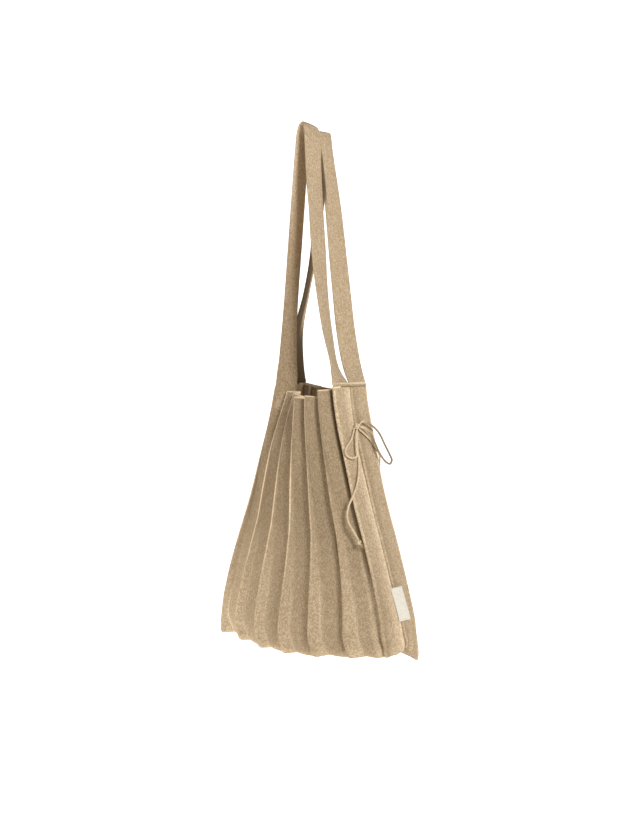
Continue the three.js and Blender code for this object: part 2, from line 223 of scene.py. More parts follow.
# %% Sizes and routes of the cords
CORD_RADIUS = 1.0
CORD_SIDES = 12
CORD_TWIST = 4.4
CORD_POINT_STEP = 0.7
STRAND_OVAL = 0.14
LOOP_SHADE = -0.8
LOOP_SHADE_Y = (7, 15)
LOOP_RIGHT = [
    (61.4, 2.1, -306), (62, 7, -302.8), (63.4, 14, -305.5), (65.6, 25, -314.7),
    (68.4, 31.4, -328), (71.5, 35.6, -338.4), (73.6, 36.4, -343.6), (75, 32.6, -347.4),
    (75.6, 25.8, -344.6), (73.8, 19.6, -336.3), (70.8, 16.6, -327), (66.8, 13.6, -316.4),
    (64.2, 7.8, -310.2), (62.8, 2.2, -308),
]
LOOP_LEFT = [
    (61.4, -4.6, -309.4), (63.4, -10, -320), (65.6, -18, -327.6), (67.4, -22, -332.2),
    (69, -20.8, -336.8), (70.4, -15.3, -339.6), (71, -9.8, -337.8), (68.4, -8.2, -328),
    (64.8, -5.4, -317), (63.2, -3.2, -311.6),
]
TAIL_FRONT = [
    (61, -1, -311.8), (63.8, -3, -322), (67, -5, -331), (70.2, -6.6, -340), (73.2, -8.6, -348),
    (79.5, -16, -364), (82.5, -23.5, -375.6), (78, -26, -387), (76.5, -27, -397),
    (79.5, -27.4, -405), (86, -26, -414), (91, -24.6, -421.5),
]
TAIL_BACK = [
    (61.3, 2, -310.9), (62.3, 8.2, -315.6), (64.5, 15.2, -322.6), (67, 20.8, -331),
    (66.6, 25.4, -338.4), (64.4, 27.4, -348), (63.4, 27.4, -360), (63.6, 27.8, -371),
    (64, 28.4, -379),
]
route_points = len(LOOP_RIGHT) + len(LOOP_LEFT) + len(TAIL_FRONT) + len(TAIL_BACK)
print("4 cords through", route_points, "places")

# %% Cords
def twisted_tube(line, along, side, radius, turns):
    """A tube along a line. Point (i, a) is the line's point i plus radius times (1 + STRAND_OVAL cos
    of twice the angle to the strands) in the direction a round the line. along is the line's
    direction, side says which way the angle 0 points, and turns is how often the strands turn."""
    first = unit(np.cross(along, side))
    second = np.cross(along, first)
    angle = np.linspace(0, 2 * np.pi, CORD_SIDES, endpoint=False)[None, :]
    strands = np.linspace(0, 2 * np.pi * turns, len(line), endpoint=False)[:, None]
    reach = radius * (1 + STRAND_OVAL * np.cos(2 * (angle - strands)))[..., None]
    out = np.cos(angle)[..., None] * first[:, None] + np.sin(angle)[..., None] * second[:, None]
    return line[:, None] + reach * out


def tube_cloth(rows, length, sides, around):
    """The UV places of a tube: round it and along it, in metres."""
    u = np.linspace(0, around / 1000, sides + 1)[None, :].repeat(rows, axis=0)
    v = np.linspace(0, length / 1000, rows)[:, None].repeat(sides + 1, axis=1)
    return np.stack([u, v], axis=-1)


def make_cord(name, node_name, places):
    """A twisted cord through the places, with its line in metres and its length in mm."""
    rough_length = smooth_line(places, 2)[1]
    count = int(rough_length / CORD_POINT_STEP) + 1
    line, length = smooth_line(places, count)
    along = unit(np.gradient(line, axis=0))
    points = twisted_tube(line, along, np.array([1.0, 0, 0]), CORD_RADIUS, length / CORD_TWIST)
    cloth = tube_cloth(count, length, CORD_SIDES, 2 * np.pi * CORD_RADIUS)
    piece = make_piece(name, points, cloth, tube_ends(count, CORD_SIDES))
    finish_piece(piece, "cord_yarn", node_name)
    print(name, "is", round(length, 1), "mm long")
    return piece, line / 1000, length / 1000


loop_right, loop_right_line, loop_right_length = make_cord(
    "cord_right_loop", "tie_loop_right", LOOP_RIGHT
)
loop_left, loop_left_line, loop_left_length = make_cord(
    "cord_left_loop", "tie_loop_left", LOOP_LEFT
)
tail_front, tail_front_line, tail_front_length = make_cord(
    "cord_front_tail", "tie_tail_front", TAIL_FRONT
)
tail_back, tail_back_line, tail_back_length = make_cord(
    "cord_back_tail", "tie_tail_back", TAIL_BACK
)
loop_shade = LOOP_SHADE * ramp(loop_right_line[:, 1] * 1000, *LOOP_SHADE_Y)
mark_points(loop_right, np.repeat(loop_shade, CORD_SIDES))
print("the right loop is marked down to", loop_shade.min())

# %% [markdown]
# ## Knots
#
# A knot could be modelled by hand as a lump. Here it is the same cord again, carried along
# a trefoil: a line that winds three times through the hole of a ring while it goes round it
# twice. Seen from the side it looks like a tight knot of crossing strands. The free ends also have
# a tuft of a few fine fibres where the cord was cut.

# %% Knots
KNOT_POINTS = 160
KNOT_TURNS = 6


def knot_line(centre, ring, winding):
    """A trefoil round a centre. At angle t its distance from the axis is ring + winding cos 3t,
    its direction round the axis is 2t and its height along the axis is winding sin 3t. The axis
    is X, so the knot lies flat on the side of the bag."""
    t = np.linspace(0, 2 * np.pi, KNOT_POINTS, endpoint=False)
    reach = ring + winding * np.cos(3 * t)
    offset = np.stack([winding * np.sin(3 * t), reach * np.cos(2 * t), reach * np.sin(2 * t)], axis=1)
    core = np.stack([0 * t, ring * np.cos(2 * t), ring * np.sin(2 * t)], axis=1)
    return np.array(centre) + offset, offset - core


def make_knot(name, node_name, centre, ring, winding, radius):
    """A closed twisted tube along a trefoil: its last ring of points joins its first one."""
    line, side = knot_line(centre, ring, winding)
    along = unit(np.roll(line, -1, axis=0) - np.roll(line, 1, axis=0))
    points = twisted_tube(line, along, side, radius, KNOT_TURNS)
    length = np.linalg.norm(np.diff(line, axis=0), axis=1).sum()
    cloth = tube_cloth(KNOT_POINTS + 1, length, CORD_SIDES, 2 * np.pi * radius)
    piece = make_piece(name, points, cloth, [])
    finish_piece(piece, "cord_yarn", node_name)
    return piece


knot = make_knot(
    "cord_knot", "tie_knot", centre=(61.6, -1, -307.5), ring=1.75, winding=0.95, radius=0.95
)
end_front = make_knot(
    "cord_end_front", "tie_end_front", centre=(92.2, -24.6, -424), ring=1.25, winding=0.7, radius=0.75
)
end_back = make_knot(
    "cord_end_back", "tie_end_back", centre=(64.2, 28.8, -381.6), ring=1.25, winding=0.7, radius=0.75
)
print("3 knots of", KNOT_POINTS, "rings each")

# %% Frayed ends
FIBRE_POINTS = 8
FIBRE_COUNT = 14
FIBRE_RADIUS = 0.16
FIBRE_TURN = 2.4
FIBRE_MIX_HEIGHT = 1.7
FIBRE_MIX_LENGTH = 3.1
FIBRE_MEAN_LENGTH = 0.65
FIBRE_LENGTH_RANGE = 0.35
FIBRE_LEAST_SPREAD = 0.16
FIBRE_MORE_SPREAD = 0.5
FIBRE_ROOT = 0.6
FIBRE_DROP = 0.9
FIBRE_TAPER = 0.6


def make_fibres(name, start, heading, reach):
    """A tuft of fibres: each is a thin four-sided tube along a line that leaves the start in the
    heading, spreads sideways and bends down with the square of the distance. Sines and cosines of
    a fibre's number give its own direction and length."""
    number = np.arange(FIBRE_COUNT)
    turn = number * FIBRE_TURN
    spread = FIBRE_LEAST_SPREAD + FIBRE_MORE_SPREAD * (number / FIBRE_COUNT)
    sideways = np.stack([np.cos(turn), np.sin(turn), np.sin(turn * FIBRE_MIX_HEIGHT)], axis=1)
    sideways = sideways * spread[:, None]
    along = unit(np.array(heading) + sideways)
    mixed = np.cos(turn * FIBRE_MIX_LENGTH)
    length = reach * (FIBRE_MEAN_LENGTH + FIBRE_LENGTH_RANGE * mixed)
    share = np.linspace(0, 1, FIBRE_POINTS)[None, :, None]
    root = np.array(start) + FIBRE_ROOT * sideways
    lines = root[:, None] + along[:, None] * length[:, None, None] * share
    lines[..., 2] -= FIBRE_DROP * share[..., 0] ** 2
    corner = FIBRE_RADIUS * np.array([[0, 1, 0], [0, 0, 1], [0, -1, 0], [0, 0, -1]])
    thin = (1 - FIBRE_TAPER * share)[..., None]
    piece = make_tubes(name, lines[:, :, None] + corner * thin, False)
    finish_piece(piece, "cord_yarn")
    return piece


fibres_front = make_fibres(
    "cord_fibres_front", start=(92.8, -23.8, -425.8), heading=(0.55, 0.45, -0.6), reach=8.5
)
fibres_back = make_fibres(
    "cord_fibres_back", start=(64.3, 28.8, -383.2), heading=(0.1, 0.1, -1), reach=7
)
print(2 * FIBRE_COUNT, "fibres")

# %% [markdown]
# ## What hangs freely
#
# A cord moves when the bag does. Here the lengths of the free cords are added up. The loops end at
# the bow's own knot and the tails at a small knot with a tuft.

# %% Free cords
free_length = loop_right_length + loop_left_length + tail_front_length + tail_back_length
print("free cord in all:", round(free_length * 1000, 1), "mm")

# %% [markdown]
# ## The pleated body: its sizes
#
# The body is one wall of knit that runs round in knife pleats: six on the front, six on the
# back, and a two-panel gusset at each side. It flares from the rim to the bottom. The table
# has a row for each depth below the rim. half is half the width, bulge how far the middle stands
# out, ridge how far the gusset's crease stands out, dent how far the straps pull the front in,
# fold how deep a pleat is, under how far it runs under the next one, and strip how wide the
# raised strip beside each fold is. Between the rows the sizes follow smooth curves.

# %% Sizes of the body
RIM_Z = -267.0
BODY_HEIGHT = 276.5
WALL = 1.7
PLEATS = 6
SIDE_DEPTH = 22.8
PANEL_FULLNESS = 0.7
STRIP_SHARE = 0.62
LAST_VALLEY_INSET = 6.0
DENT_PLACE = -0.5
DENT_REACH = 0.6
SAG_FADE = 60.0
SWING = -7.5
CORNER_LIFT = 4.0
LIFT_START = 200.0
LEVEL_NAMES = ("depth", "half", "bulge", "ridge", "dent", "fold", "under", "strip")
LEVELS = np.array([
    (0, 48, 12, 1, 14, 10, 4, 1.5),
    (14, 50.5, 12.5, 0.7, 11, 10, 4, 1.5),
    (40, 57.5, 13.5, 0.3, 6, 10, 4, 1.5),
    (80, 70.8, 15, 0.5, 1.5, 9.5, 4, 2),
    (120, 85.5, 17, 0.7, 0, 9, 4, 4),
    (165, 104.5, 20, 0.8, 0, 8.5, 4, 8),
    (208, 121, 24, 0.6, 0, 8, 3.5, 11),
    (247, 131.5, 28.5, 0.4, 0, 7, 2, 13.5),
    (266, 133, 30, 0.3, 0, 5.5, 0.5, 14.5),
    (274, 131, 28.5, 0.3, 0, 4.5, -1, 15),
])
FRONT_FOLD_SAG = np.array([5, 7.5, 8.8, 12, 10.3, 4, 1.0])
BACK_FOLD_SAG = np.array([0, 3.9, 7.2, 8.1, 5.9, 3.3, 0.7])
FRONT_VALLEY_SAG = np.array([8, 7.5, 11.4, 14, 11.9, 3.0])
BACK_VALLEY_SAG = np.array([5.9, 7.8, 7.8, 4.9, 2.6, 0.0])


def level_at(depth):
    """The sizes at an array of depths: between two rows each size is a cubic whose slope at a row
    is the harmonic mean of the slopes on both sides, or 0 where they differ in sign, so that
    it never overshoots. The result has a column array for each size's name."""
    x, y = LEVELS[:, 0], LEVELS[:, 1:]
    width = np.diff(x)[:, None]
    slope = np.diff(y, axis=0) / width
    agree = slope[1:] * slope[:-1] > 0
    total = np.where(agree, slope[1:] + slope[:-1], 1)
    middle = np.where(agree, 2 * slope[1:] * slope[:-1] / total, 0)
    ends = np.vstack([slope[:1], middle, slope[-1:]])
    i = np.clip(np.searchsorted(x, depth, side="right") - 1, 0, len(x) - 2)
    w = ((depth - x[i]) / (x[i + 1] - x[i]))[:, None]
    rise = slope[i] * width[i]
    leave, arrive = ends[i] * width[i], ends[i + 1] * width[i]
    square = (3 * rise - 2 * leave - arrive) * w**2
    value = y[i] + leave * w + square + (leave + arrive - 2 * rise) * w**3
    named = {name: value[:, k : k + 1] for k, name in enumerate(LEVEL_NAMES[1:])}
    named["depth"] = np.asarray(depth, float)[:, None]
    return named


def front_line(level, x, dent_share):
    """Where the front wall lies: a bow that stands out by bulge in the middle, with a dent whose
    depth falls off as the squared cosine of the distance from its place."""
    across = x / level["half"]
    reach = np.minimum(1, np.abs(across - DENT_PLACE) / DENT_REACH)
    bow = SIDE_DEPTH + level["bulge"] * np.maximum(0, 1 - across**2)
    return -bow + dent_share * level["dent"] * np.cos(reach * np.pi / 2) ** 2


def gusset_x(level, along):
    """How far out a gusset lies, by the distance from its crease: straight from the crease to the
    panel's middle, and from there to the corner."""
    share = 2 * np.abs(along) / SIDE_DEPTH
    panel = level["half"] + level["ridge"] * PANEL_FULLNESS
    near = level["half"] + level["ridge"] + (panel - level["half"] - level["ridge"]) * share
    far = panel + (level["half"] - panel) * (share - 1)
    return np.where(share < 1, near, far)


print("table of", len(LEVELS), "depths,", 2 * PLEATS, "pleats")

# %% [markdown]
# ## The pleated body: its line at each depth
#
# At one depth the wall is a closed zigzag. A knife pleat goes along a raised strip, then along its
# wide face, runs under the next fold and turns back sharply to it. All the corners of a half
# are computed for all depths at once. Each is then replaced by a short arc, so that folds are
# round as thick knit is, and the faces between them get points as well. The other half is the
# same turned by 180 degrees, because on the real bag the pleats run round one way. Near the bottom
# the folds lean to the right, the gusset's crease leaves its middle and the edge is notched beside
# each strip, as cloth does that hangs free there.

# %% Sizes of the folds
ARC_POINTS = 5
FACE_POINTS = 6
ARC_ROOM = 0.45
SHARPEST_COSINE = 0.9999
GUSSET_CORNERS = 5
START_CORNER = 3
FOLD_RADIUS = 0.9
STRIP_RADIUS = 2.5
STRIP_GROWS = (50, 160)
PANEL_RADIUS = 26.0
CREASE_RADIUS = 0.7
CREASE_HALF = 1.7
CREASE_DEPTH = 2.8
CREASE_GROWS = (0, 40)
RIM_CREASE = 0.1
CREASE_SHIFT = 11.0
SHIFT_START = 190.0
SHIFT_POWER = 1.6
SHIFT_SHARES = np.array([0.5, 1, 1, 1, 0.5])
NOTCH_START = 250.0
NOTCH_DEPTH = 3.2
NOTCH_LIFT = 2.2
FOLD_LIFT = -0.8
VALLEY_LIFT = 0.6
LEAN = 8.0
LAST_LEAN = 6.0
FRONT_TIP_LEAN = -1.5
BACK_TIP_LEAN = -6.0
GUSSET_LIFT = (2, 6, 8.5, 9.5, 5)
BOTTOM_TILT = 0.003
TIP_DROP = 6.0
TIP_LIFT = -0.5
TIP_NOTCH = 2.0
GUSSET_TIP = 0.95
FRONT_DROP = 3.2
DROP_PLACE = 5.0
DROP_REACH = 60.0
SCALLOP = 1.6
MIDDLE_DEPTH = 170.0
print("a half has", 3 * PLEATS + 1 + GUSSET_CORNERS, "corners")

# %% Corners of a half
def both_halves(values):
    """One value for each corner of a half, repeated for the other half. The first ones belong to
    the crease of the left gusset, where the closed line starts."""
    return np.roll(np.tile(values, 2), START_CORNER)


def crease_shift(depth):
    """How far a gusset's crease is shifted at a depth: it leaves the middle of the gusset low down,
    with a power of the way to the bottom."""
    share = np.maximum(0, depth - SHIFT_START) / (BODY_HEIGHT - SHIFT_START)
    return CREASE_SHIFT * share**SHIFT_POWER


def half_corners(level, dent_share, fold_sag, valley_sag, tip_lean):
    """The corners of one wide wall and the gusset to its right, for all depths: X and Y, the
    rim's sag, the lift of the bottom edge, how much of a pointed tip the edge is (1 at the first
    fold, a little less along the gusset), and the radius of the arc at each corner."""
    pitch = 2 * level["half"] / PLEATS
    near_bottom = ramp(level["depth"], NOTCH_START, BODY_HEIGHT)
    fold_x = -level["half"] + np.arange(PLEATS + 1) * pitch
    fold_y = front_line(level, fold_x, dent_share)
    strip_x = fold_x[:, :-1] + level["strip"]
    even_share = level["strip"] / (pitch + level["under"])
    grown = ramp(level["depth"], *STRIP_GROWS)
    strip_drop = level["fold"] * (even_share + (STRIP_SHARE - even_share) * grown)
    strip_y = front_line(level, strip_x, dent_share) + strip_drop + NOTCH_DEPTH * near_bottom
    is_last = np.arange(PLEATS) == PLEATS - 1
    valley_x = fold_x[:, 1:] + np.where(is_last, -LAST_VALLEY_INSET, level["under"])
    valley_y = front_line(level, valley_x, dent_share) + level["fold"]
    along = np.array([-SIDE_DEPTH / 2, -CREASE_HALF, 0, CREASE_HALF, SIDE_DEPTH / 2])[None, :]
    deepening = RIM_CREASE + (1 - RIM_CREASE) * ramp(level["depth"], *CREASE_GROWS)
    side_x = gusset_x(level, along) - CREASE_DEPTH * (along == 0) * deepening
    side_y = along + crease_shift(level["depth"]) * SHIFT_SHARES
    pleat_x = np.stack([fold_x[:, :-1], strip_x, valley_x], axis=2).reshape(len(pitch), -1)
    pleat_y = np.stack([fold_y[:, :-1], strip_y, valley_y], axis=2).reshape(len(pitch), -1)
    is_first = np.arange(3 * PLEATS) == 0
    lean = np.where(is_first, tip_lean, LEAN) * near_bottom
    x = np.hstack([pleat_x + lean, fold_x[:, -1:] + LAST_LEAN * near_bottom, side_x])
    y = np.hstack([pleat_y, fold_y[:, -1:], side_y])
    pleat_sag = np.stack([fold_sag[:-1], fold_sag[:-1], valley_sag], axis=1).ravel()
    sag = np.r_[pleat_sag, fold_sag[-1], np.zeros(GUSSET_CORNERS)]
    lift = np.r_[np.tile([FOLD_LIFT, NOTCH_LIFT, VALLEY_LIFT], PLEATS), 0, GUSSET_LIFT]
    lift[1] += TIP_NOTCH
    tip = np.r_[1, np.zeros(3 * PLEATS), np.full(GUSSET_CORNERS, GUSSET_TIP)]
    radius = np.r_[np.tile([FOLD_RADIUS, STRIP_RADIUS, FOLD_RADIUS], PLEATS), FOLD_RADIUS]
    radius = np.r_[radius, PANEL_RADIUS, [CREASE_RADIUS] * 3, PANEL_RADIUS]
    return x, y, sag, lift, tip, radius


print("the crease is", round(crease_shift(BODY_HEIGHT), 1), "mm off the middle at the bottom")

# %% Zigzag of the wall
def zigzag(level):
    """The closed line of the wall at all depths, starting at the left gusset's crease: (depths,
    points, 2), with the sag, lift and tip of each point. An arc lies between the two faces at a
    corner: its centre is on their bisector, and it takes at most ARC_ROOM of the shorter face."""
    front = half_corners(level, 1, FRONT_FOLD_SAG, FRONT_VALLEY_SAG, FRONT_TIP_LEAN)
    back = half_corners(level, 0, BACK_FOLD_SAG, BACK_VALLEY_SAG, BACK_TIP_LEAN)
    x = np.roll(np.hstack([front[0], -back[0]]), START_CORNER, axis=1)
    y = np.roll(np.hstack([front[1], -back[1]]), START_CORNER, axis=1)
    sag, lift, tip, radius = [
        np.roll(np.r_[front_trait, back_trait], START_CORNER)
        for front_trait, back_trait in zip(front[2:], back[2:])
    ]
    tip_lift = np.r_[TIP_LIFT * (front[4] == 1), -TIP_DROP * (back[4] == 1)]
    lift = lift + np.roll(tip_lift, START_CORNER)
    corner = np.stack([x, y], axis=2)
    back_way = np.roll(corner, 1, axis=1) - corner
    ahead_way = np.roll(corner, -1, axis=1) - corner
    room = ARC_ROOM * np.minimum(np.linalg.norm(back_way, axis=2), np.linalg.norm(ahead_way, axis=2))
    back_way, ahead_way = unit(back_way), unit(ahead_way)
    half_angle = np.arccos(np.clip((back_way * ahead_way).sum(2), -1, SHARPEST_COSINE)) / 2
    tangent = np.minimum(radius / np.tan(half_angle), room)
    arc_radius = tangent * np.tan(half_angle)
    bisector = unit(back_way + ahead_way)
    centre = corner + bisector * (arc_radius / np.sin(half_angle))[..., None]
    side = np.sign(back_way[..., 0] * ahead_way[..., 1] - back_way[..., 1] * ahead_way[..., 0])
    step = np.linspace(-1, 1, ARC_POINTS)
    angle = -(side * (np.pi / 2 - half_angle))[..., None] * step
    spoke = -bisector[:, :, None]
    turned_x = spoke[..., 0] * np.cos(angle) - spoke[..., 1] * np.sin(angle)
    turned_y = spoke[..., 0] * np.sin(angle) + spoke[..., 1] * np.cos(angle)
    arc = centre[:, :, None] + arc_radius[..., None, None] * np.stack([turned_x, turned_y], axis=3)
    share = np.arange(1, FACE_POINTS + 1) / (FACE_POINTS + 1)
    start, end = arc[:, :, -1:], np.roll(arc, -1, axis=1)[:, :, :1]
    face = start + (end - start) * share[None, None, :, None]
    line = np.concatenate([arc, face], axis=2).reshape(len(x), -1, 2)
    weight = np.r_[np.zeros(ARC_POINTS), share]
    sag, lift, tip = [
        (v[:, None] + (np.roll(v, -1) - v)[:, None] * weight).ravel() for v in (sag, lift, tip)
    ]
    is_strip = both_halves(np.r_[np.tile([0, 1, 0], PLEATS), np.zeros(1 + GUSSET_CORNERS)])
    lift = lift - SCALLOP * np.outer(is_strip, 4 * weight * (1 - weight)).ravel()
    return line, sag, lift, tip


print("each ring has", zigzag(level_at(np.array([0.0, MIDDLE_DEPTH])))[0].shape[1], "points")

# %% [markdown]
# ## The pleated body: its surface
#
# The wall is the zigzag moved half its thickness out, and again half in. The grid starts at the seam
# on the underside, goes out to the bottom edge, up the outer wall, over the rounded rim, down the
# inner wall and along the bag's floor to its seam. Soft knit is never quite even, so a few long
# waves of about half a millimetre at most are added to the wall.

# %% Rings of the wall
SEAM_HALF = 112.0
SEAM_GAP = 0.4
SEAM_RISE = 1.5
SEAM_END_RISE = 12.0
SEAM_RISES = (60, 106)
BOTTOM_HALF = 131.0
EDGE_RADIUS = 8.0
EDGE_START = BODY_HEIGHT - EDGE_RADIUS
EDGE_ROWS = 7
UNDER_ROWS = 6
RIM_ROWS = 5
TIP_NARROWING = 0.85
WAVES_GROW = (0, 60)
LONG_WAVE = 0.3
LONG_WAVE_COUNT = 7
LONG_WAVE_RUN = 31.0
SHORT_WAVE = 0.25
SHORT_WAVE_COUNT = 17
SHORT_WAVE_RUN = 17.0
OUTER_DEPTH = np.r_[0, 0.8, 2, 4, np.linspace(7, EDGE_START, 74)]
INNER_DEPTH = np.r_[0, 2, np.linspace(7, EDGE_START - 1, 44)]


def wall_rings(depth, distance):
    """The wall at an array of depths, moved out from its middle line by a distance. A point's
    height is the rim less the depth and the sag, which fades out below the rim, plus the lift of
    the bottom edge. Long sine waves across and along move it a little in and out."""
    level = level_at(depth)
    line, sag, lift, tip = zigzag(level)
    along = unit(np.roll(line, -1, axis=1) - np.roll(line, 1, axis=1))
    normal = np.stack([along[..., 1], -along[..., 0]], axis=2)
    turn = np.linspace(0, 2 * np.pi, line.shape[1], endpoint=False)[None, :]
    long_wave = LONG_WAVE * np.sin(LONG_WAVE_COUNT * turn + depth[:, None] / LONG_WAVE_RUN)
    short_wave = SHORT_WAVE * np.sin(SHORT_WAVE_COUNT * turn - depth[:, None] / SHORT_WAVE_RUN)
    shift = distance + (long_wave + short_wave) * ramp(depth, *WAVES_GROW)[:, None]
    place = line + normal * shift[..., None]
    fade = np.maximum(0, 1 - level["depth"] / SAG_FADE)
    side = np.minimum(1, np.abs(line[..., 0]) / level["half"])
    grown = np.maximum(0, level["depth"] - LIFT_START) / (BODY_HEIGHT - LIFT_START)
    rise = CORNER_LIFT * side**4 * grown
    drop = FRONT_DROP * np.exp(-(((line[..., 0] - DROP_PLACE) / DROP_REACH) ** 4))
    lift = lift + BOTTOM_TILT * line[..., 0] - drop
    rise += lift * ramp(level["depth"], NOTCH_START, BODY_HEIGHT)
    z = RIM_Z - level["depth"] - sag * fade + rise
    place[..., 0] += SWING * level["depth"] / BODY_HEIGHT
    return np.dstack([place, z]), normal, tip


middle_ring = wall_rings(np.array([MIDDLE_DEPTH]), 0)[0][0]
print("the wall at mid depth is", round(np.ptp(middle_ring[:, 0]), 1), "mm wide")

# %% Bottom and whole surface of the body
def bottom_rings(ring, radius, tip, seam_z):
    """From the wall's lowest ring to the seam: a quarter turn with that radius, narrower at a tip,
    towards the nearest place on the seam, then straight rows to the seam's own points. A seam
    point's X is the mean of a ring point's X and that of its partner across the seam, so both
    edges meet."""
    count = ring.shape[0]
    half = count // 2
    nearest = np.stack([np.clip(ring[:, 0], -SEAM_HALF, SEAM_HALF), 0 * ring[:, 0]], axis=1)
    inward = unit(nearest - ring[:, :2])
    angle = np.linspace(0, np.pi / 2, EDGE_ROWS + 1)[1:, None, None]
    width = radius * (1 - TIP_NARROWING * tip)[:, None]
    flat = ring[None, :, :2] + inward * width * (1 - np.cos(angle))
    down = ring[None, :, 2:] - radius * np.sin(angle)
    edge = np.concatenate([flat, down], axis=2)
    seam_x = 0.5 * (ring[:half, 0] - ring[:half, 0][::-1]) * SEAM_HALF / BOTTOM_HALF
    seam_rise = SEAM_END_RISE * ramp(np.abs(seam_x), *SEAM_RISES)
    seam_front = np.stack([seam_x, 0 * seam_x - SEAM_GAP, seam_z + seam_rise], axis=1)
    seam_back = seam_front * np.array([-1, -1, 1])
    seam = np.concatenate([seam_front, seam_back])
    share = np.linspace(0, 1, UNDER_ROWS + 1)[1:, None, None]
    under = edge[-1] + (seam - edge[-1]) * share
    return np.concatenate([edge, under])


def body_grid():
    """The whole surface of the body, from the seam on the underside to the floor's seam."""
    outer, normal, tip = wall_rings(OUTER_DEPTH, WALL / 2)
    inner = wall_rings(INNER_DEPTH, -WALL / 2)[0]
    angle = np.linspace(np.pi, 0, RIM_ROWS + 2)[1:-1]
    middle = (outer[0] + inner[0]) / 2
    out = np.concatenate([normal[0], 0 * normal[0][:, :1]], axis=1)
    up = np.array([0, 0, 1.0])
    bead = WALL / 2 * (np.cos(angle)[:, None, None] * out + np.sin(angle)[:, None, None] * up)
    rim = middle + bead
    seam_z = RIM_Z - BODY_HEIGHT + SEAM_RISE
    under = bottom_rings(outer[-1], EDGE_RADIUS, tip, seam_z)
    floor = bottom_rings(inner[-1], EDGE_RADIUS - 1, tip, seam_z + WALL)
    return np.concatenate([floor[::-1], inner[::-1], rim, outer, under])[::-1]


def seam_faces(rows, columns):
    """The faces that join the two edges of the seam, on the first row and on the last."""
    j = np.arange(columns // 2 - 1)
    ring = np.stack([j, j + 1, columns - 2 - j, columns - 1 - j], axis=1)
    return ring[:, ::-1].tolist() + (ring + (rows - 1) * columns).tolist()


body_points = body_grid()
print("grid of", body_points.shape[0], "rings with", body_points.shape[1], "points")

# %% Mesh of the body
body_rows, body_columns = body_points.shape[:2]
middle_step = np.linalg.norm(np.roll(middle_ring, -1, axis=0) - middle_ring, axis=1)
body_u = np.r_[0, np.cumsum(middle_step)] / 1000
row_step = np.linalg.norm(np.diff(body_points, axis=0), axis=2).mean(axis=1)
body_v = np.r_[0, np.cumsum(row_step)] / 1000
body_cloth = np.stack(np.meshgrid(body_u, body_v), axis=-1)
bag_body = make_piece("knit_body", body_points, body_cloth, seam_faces(body_rows, body_columns))
finish_piece(bag_body, "knit", "bag_body")

# %% [markdown]
# ## The pleated body: painted light and shade
#
# A folded edge of knit catches the light, and the bottom of a fold lies in the dark. One could paint
# that on the surface by hand; here it is painted through marks: each corner of the zigzag has one,
# above 0 a painted highlight and below 0 a painted shade. The marks lie on the arcs at the corners
# and fade along some of the faces. Low down on the bag the pleats open and more light gets in, so
# most marks fade out there and the raised strips get a painted highlight of their own.

# %% Sizes of the marks
# Painted light and shade of the body: a mark above 0 is a painted highlight, below 0 a painted shade.
FOLD_MARKS = np.array([0.7, 0.9, 0.9, 0.8, 0.5, 0.2])
VALLEY_MARKS = np.array([-0.4, -0.5, -0.5, -0.6, -0.9, -0.9])
GUSSET_MARKS = (0.3, 0, 0.5, -0.9, 0.1, 0)
LAST_FOLD = 3 * PLEATS
LAST_STRIP = LAST_FOLD - 2
LAST_VALLEY = LAST_FOLD - 1
NEAR_PANEL = LAST_FOLD + 1
FAR_CREASE_EDGE = LAST_FOLD + 4
NEAR_PANEL_MARK = 0.4
FAR_PANEL_MARK = -0.3
LIGHT_GETS_IN = (130, 230)
FADE_LIGHT = 0.75
FADE_DARK = 0.95
PLEAT_MARK = -0.17
LOW_PLEAT_MARK = 0.15
LOW_LEFT_MARK = 0.08
TO_LEFT = (-20, 80)
NEAR_GUSSET_MARK = -0.35
NEAR_GUSSET_STARTS = (140, 230)
LAST_FACE_MARKS = (0.25, 0.4)
LAST_VALLEY_MARK = 0.05
LAST_FACE_STARTS = (60, 130)
STRIP_MARK = 0.12
STRIP_STARTS = (60, 150)
STRIP_EDGE_MARK = 0.25
STRIP_EDGE_STARTS = (120, 200)
INSIDE_MARK = 1.0
RIM_MARK = 1.0
RIM_GUSSET_MARK = -0.8
RIM_REACH = 4
RIM_MIDDLE_ROW = EDGE_ROWS + UNDER_ROWS + len(OUTER_DEPTH) + RIM_ROWS // 2
print("folds are marked up to", FOLD_MARKS.max(), "and valleys down to", VALLEY_MARKS.min())

# %% Painted light and shade of the body
def ring_of(corner_values, face_values):
    """The points of one ring: each corner's value on its arc, and its row of values on the face
    that follows."""
    arcs = np.repeat(np.asarray(corner_values, float)[:, None], ARC_POINTS, axis=1)
    return np.hstack([arcs, face_values])


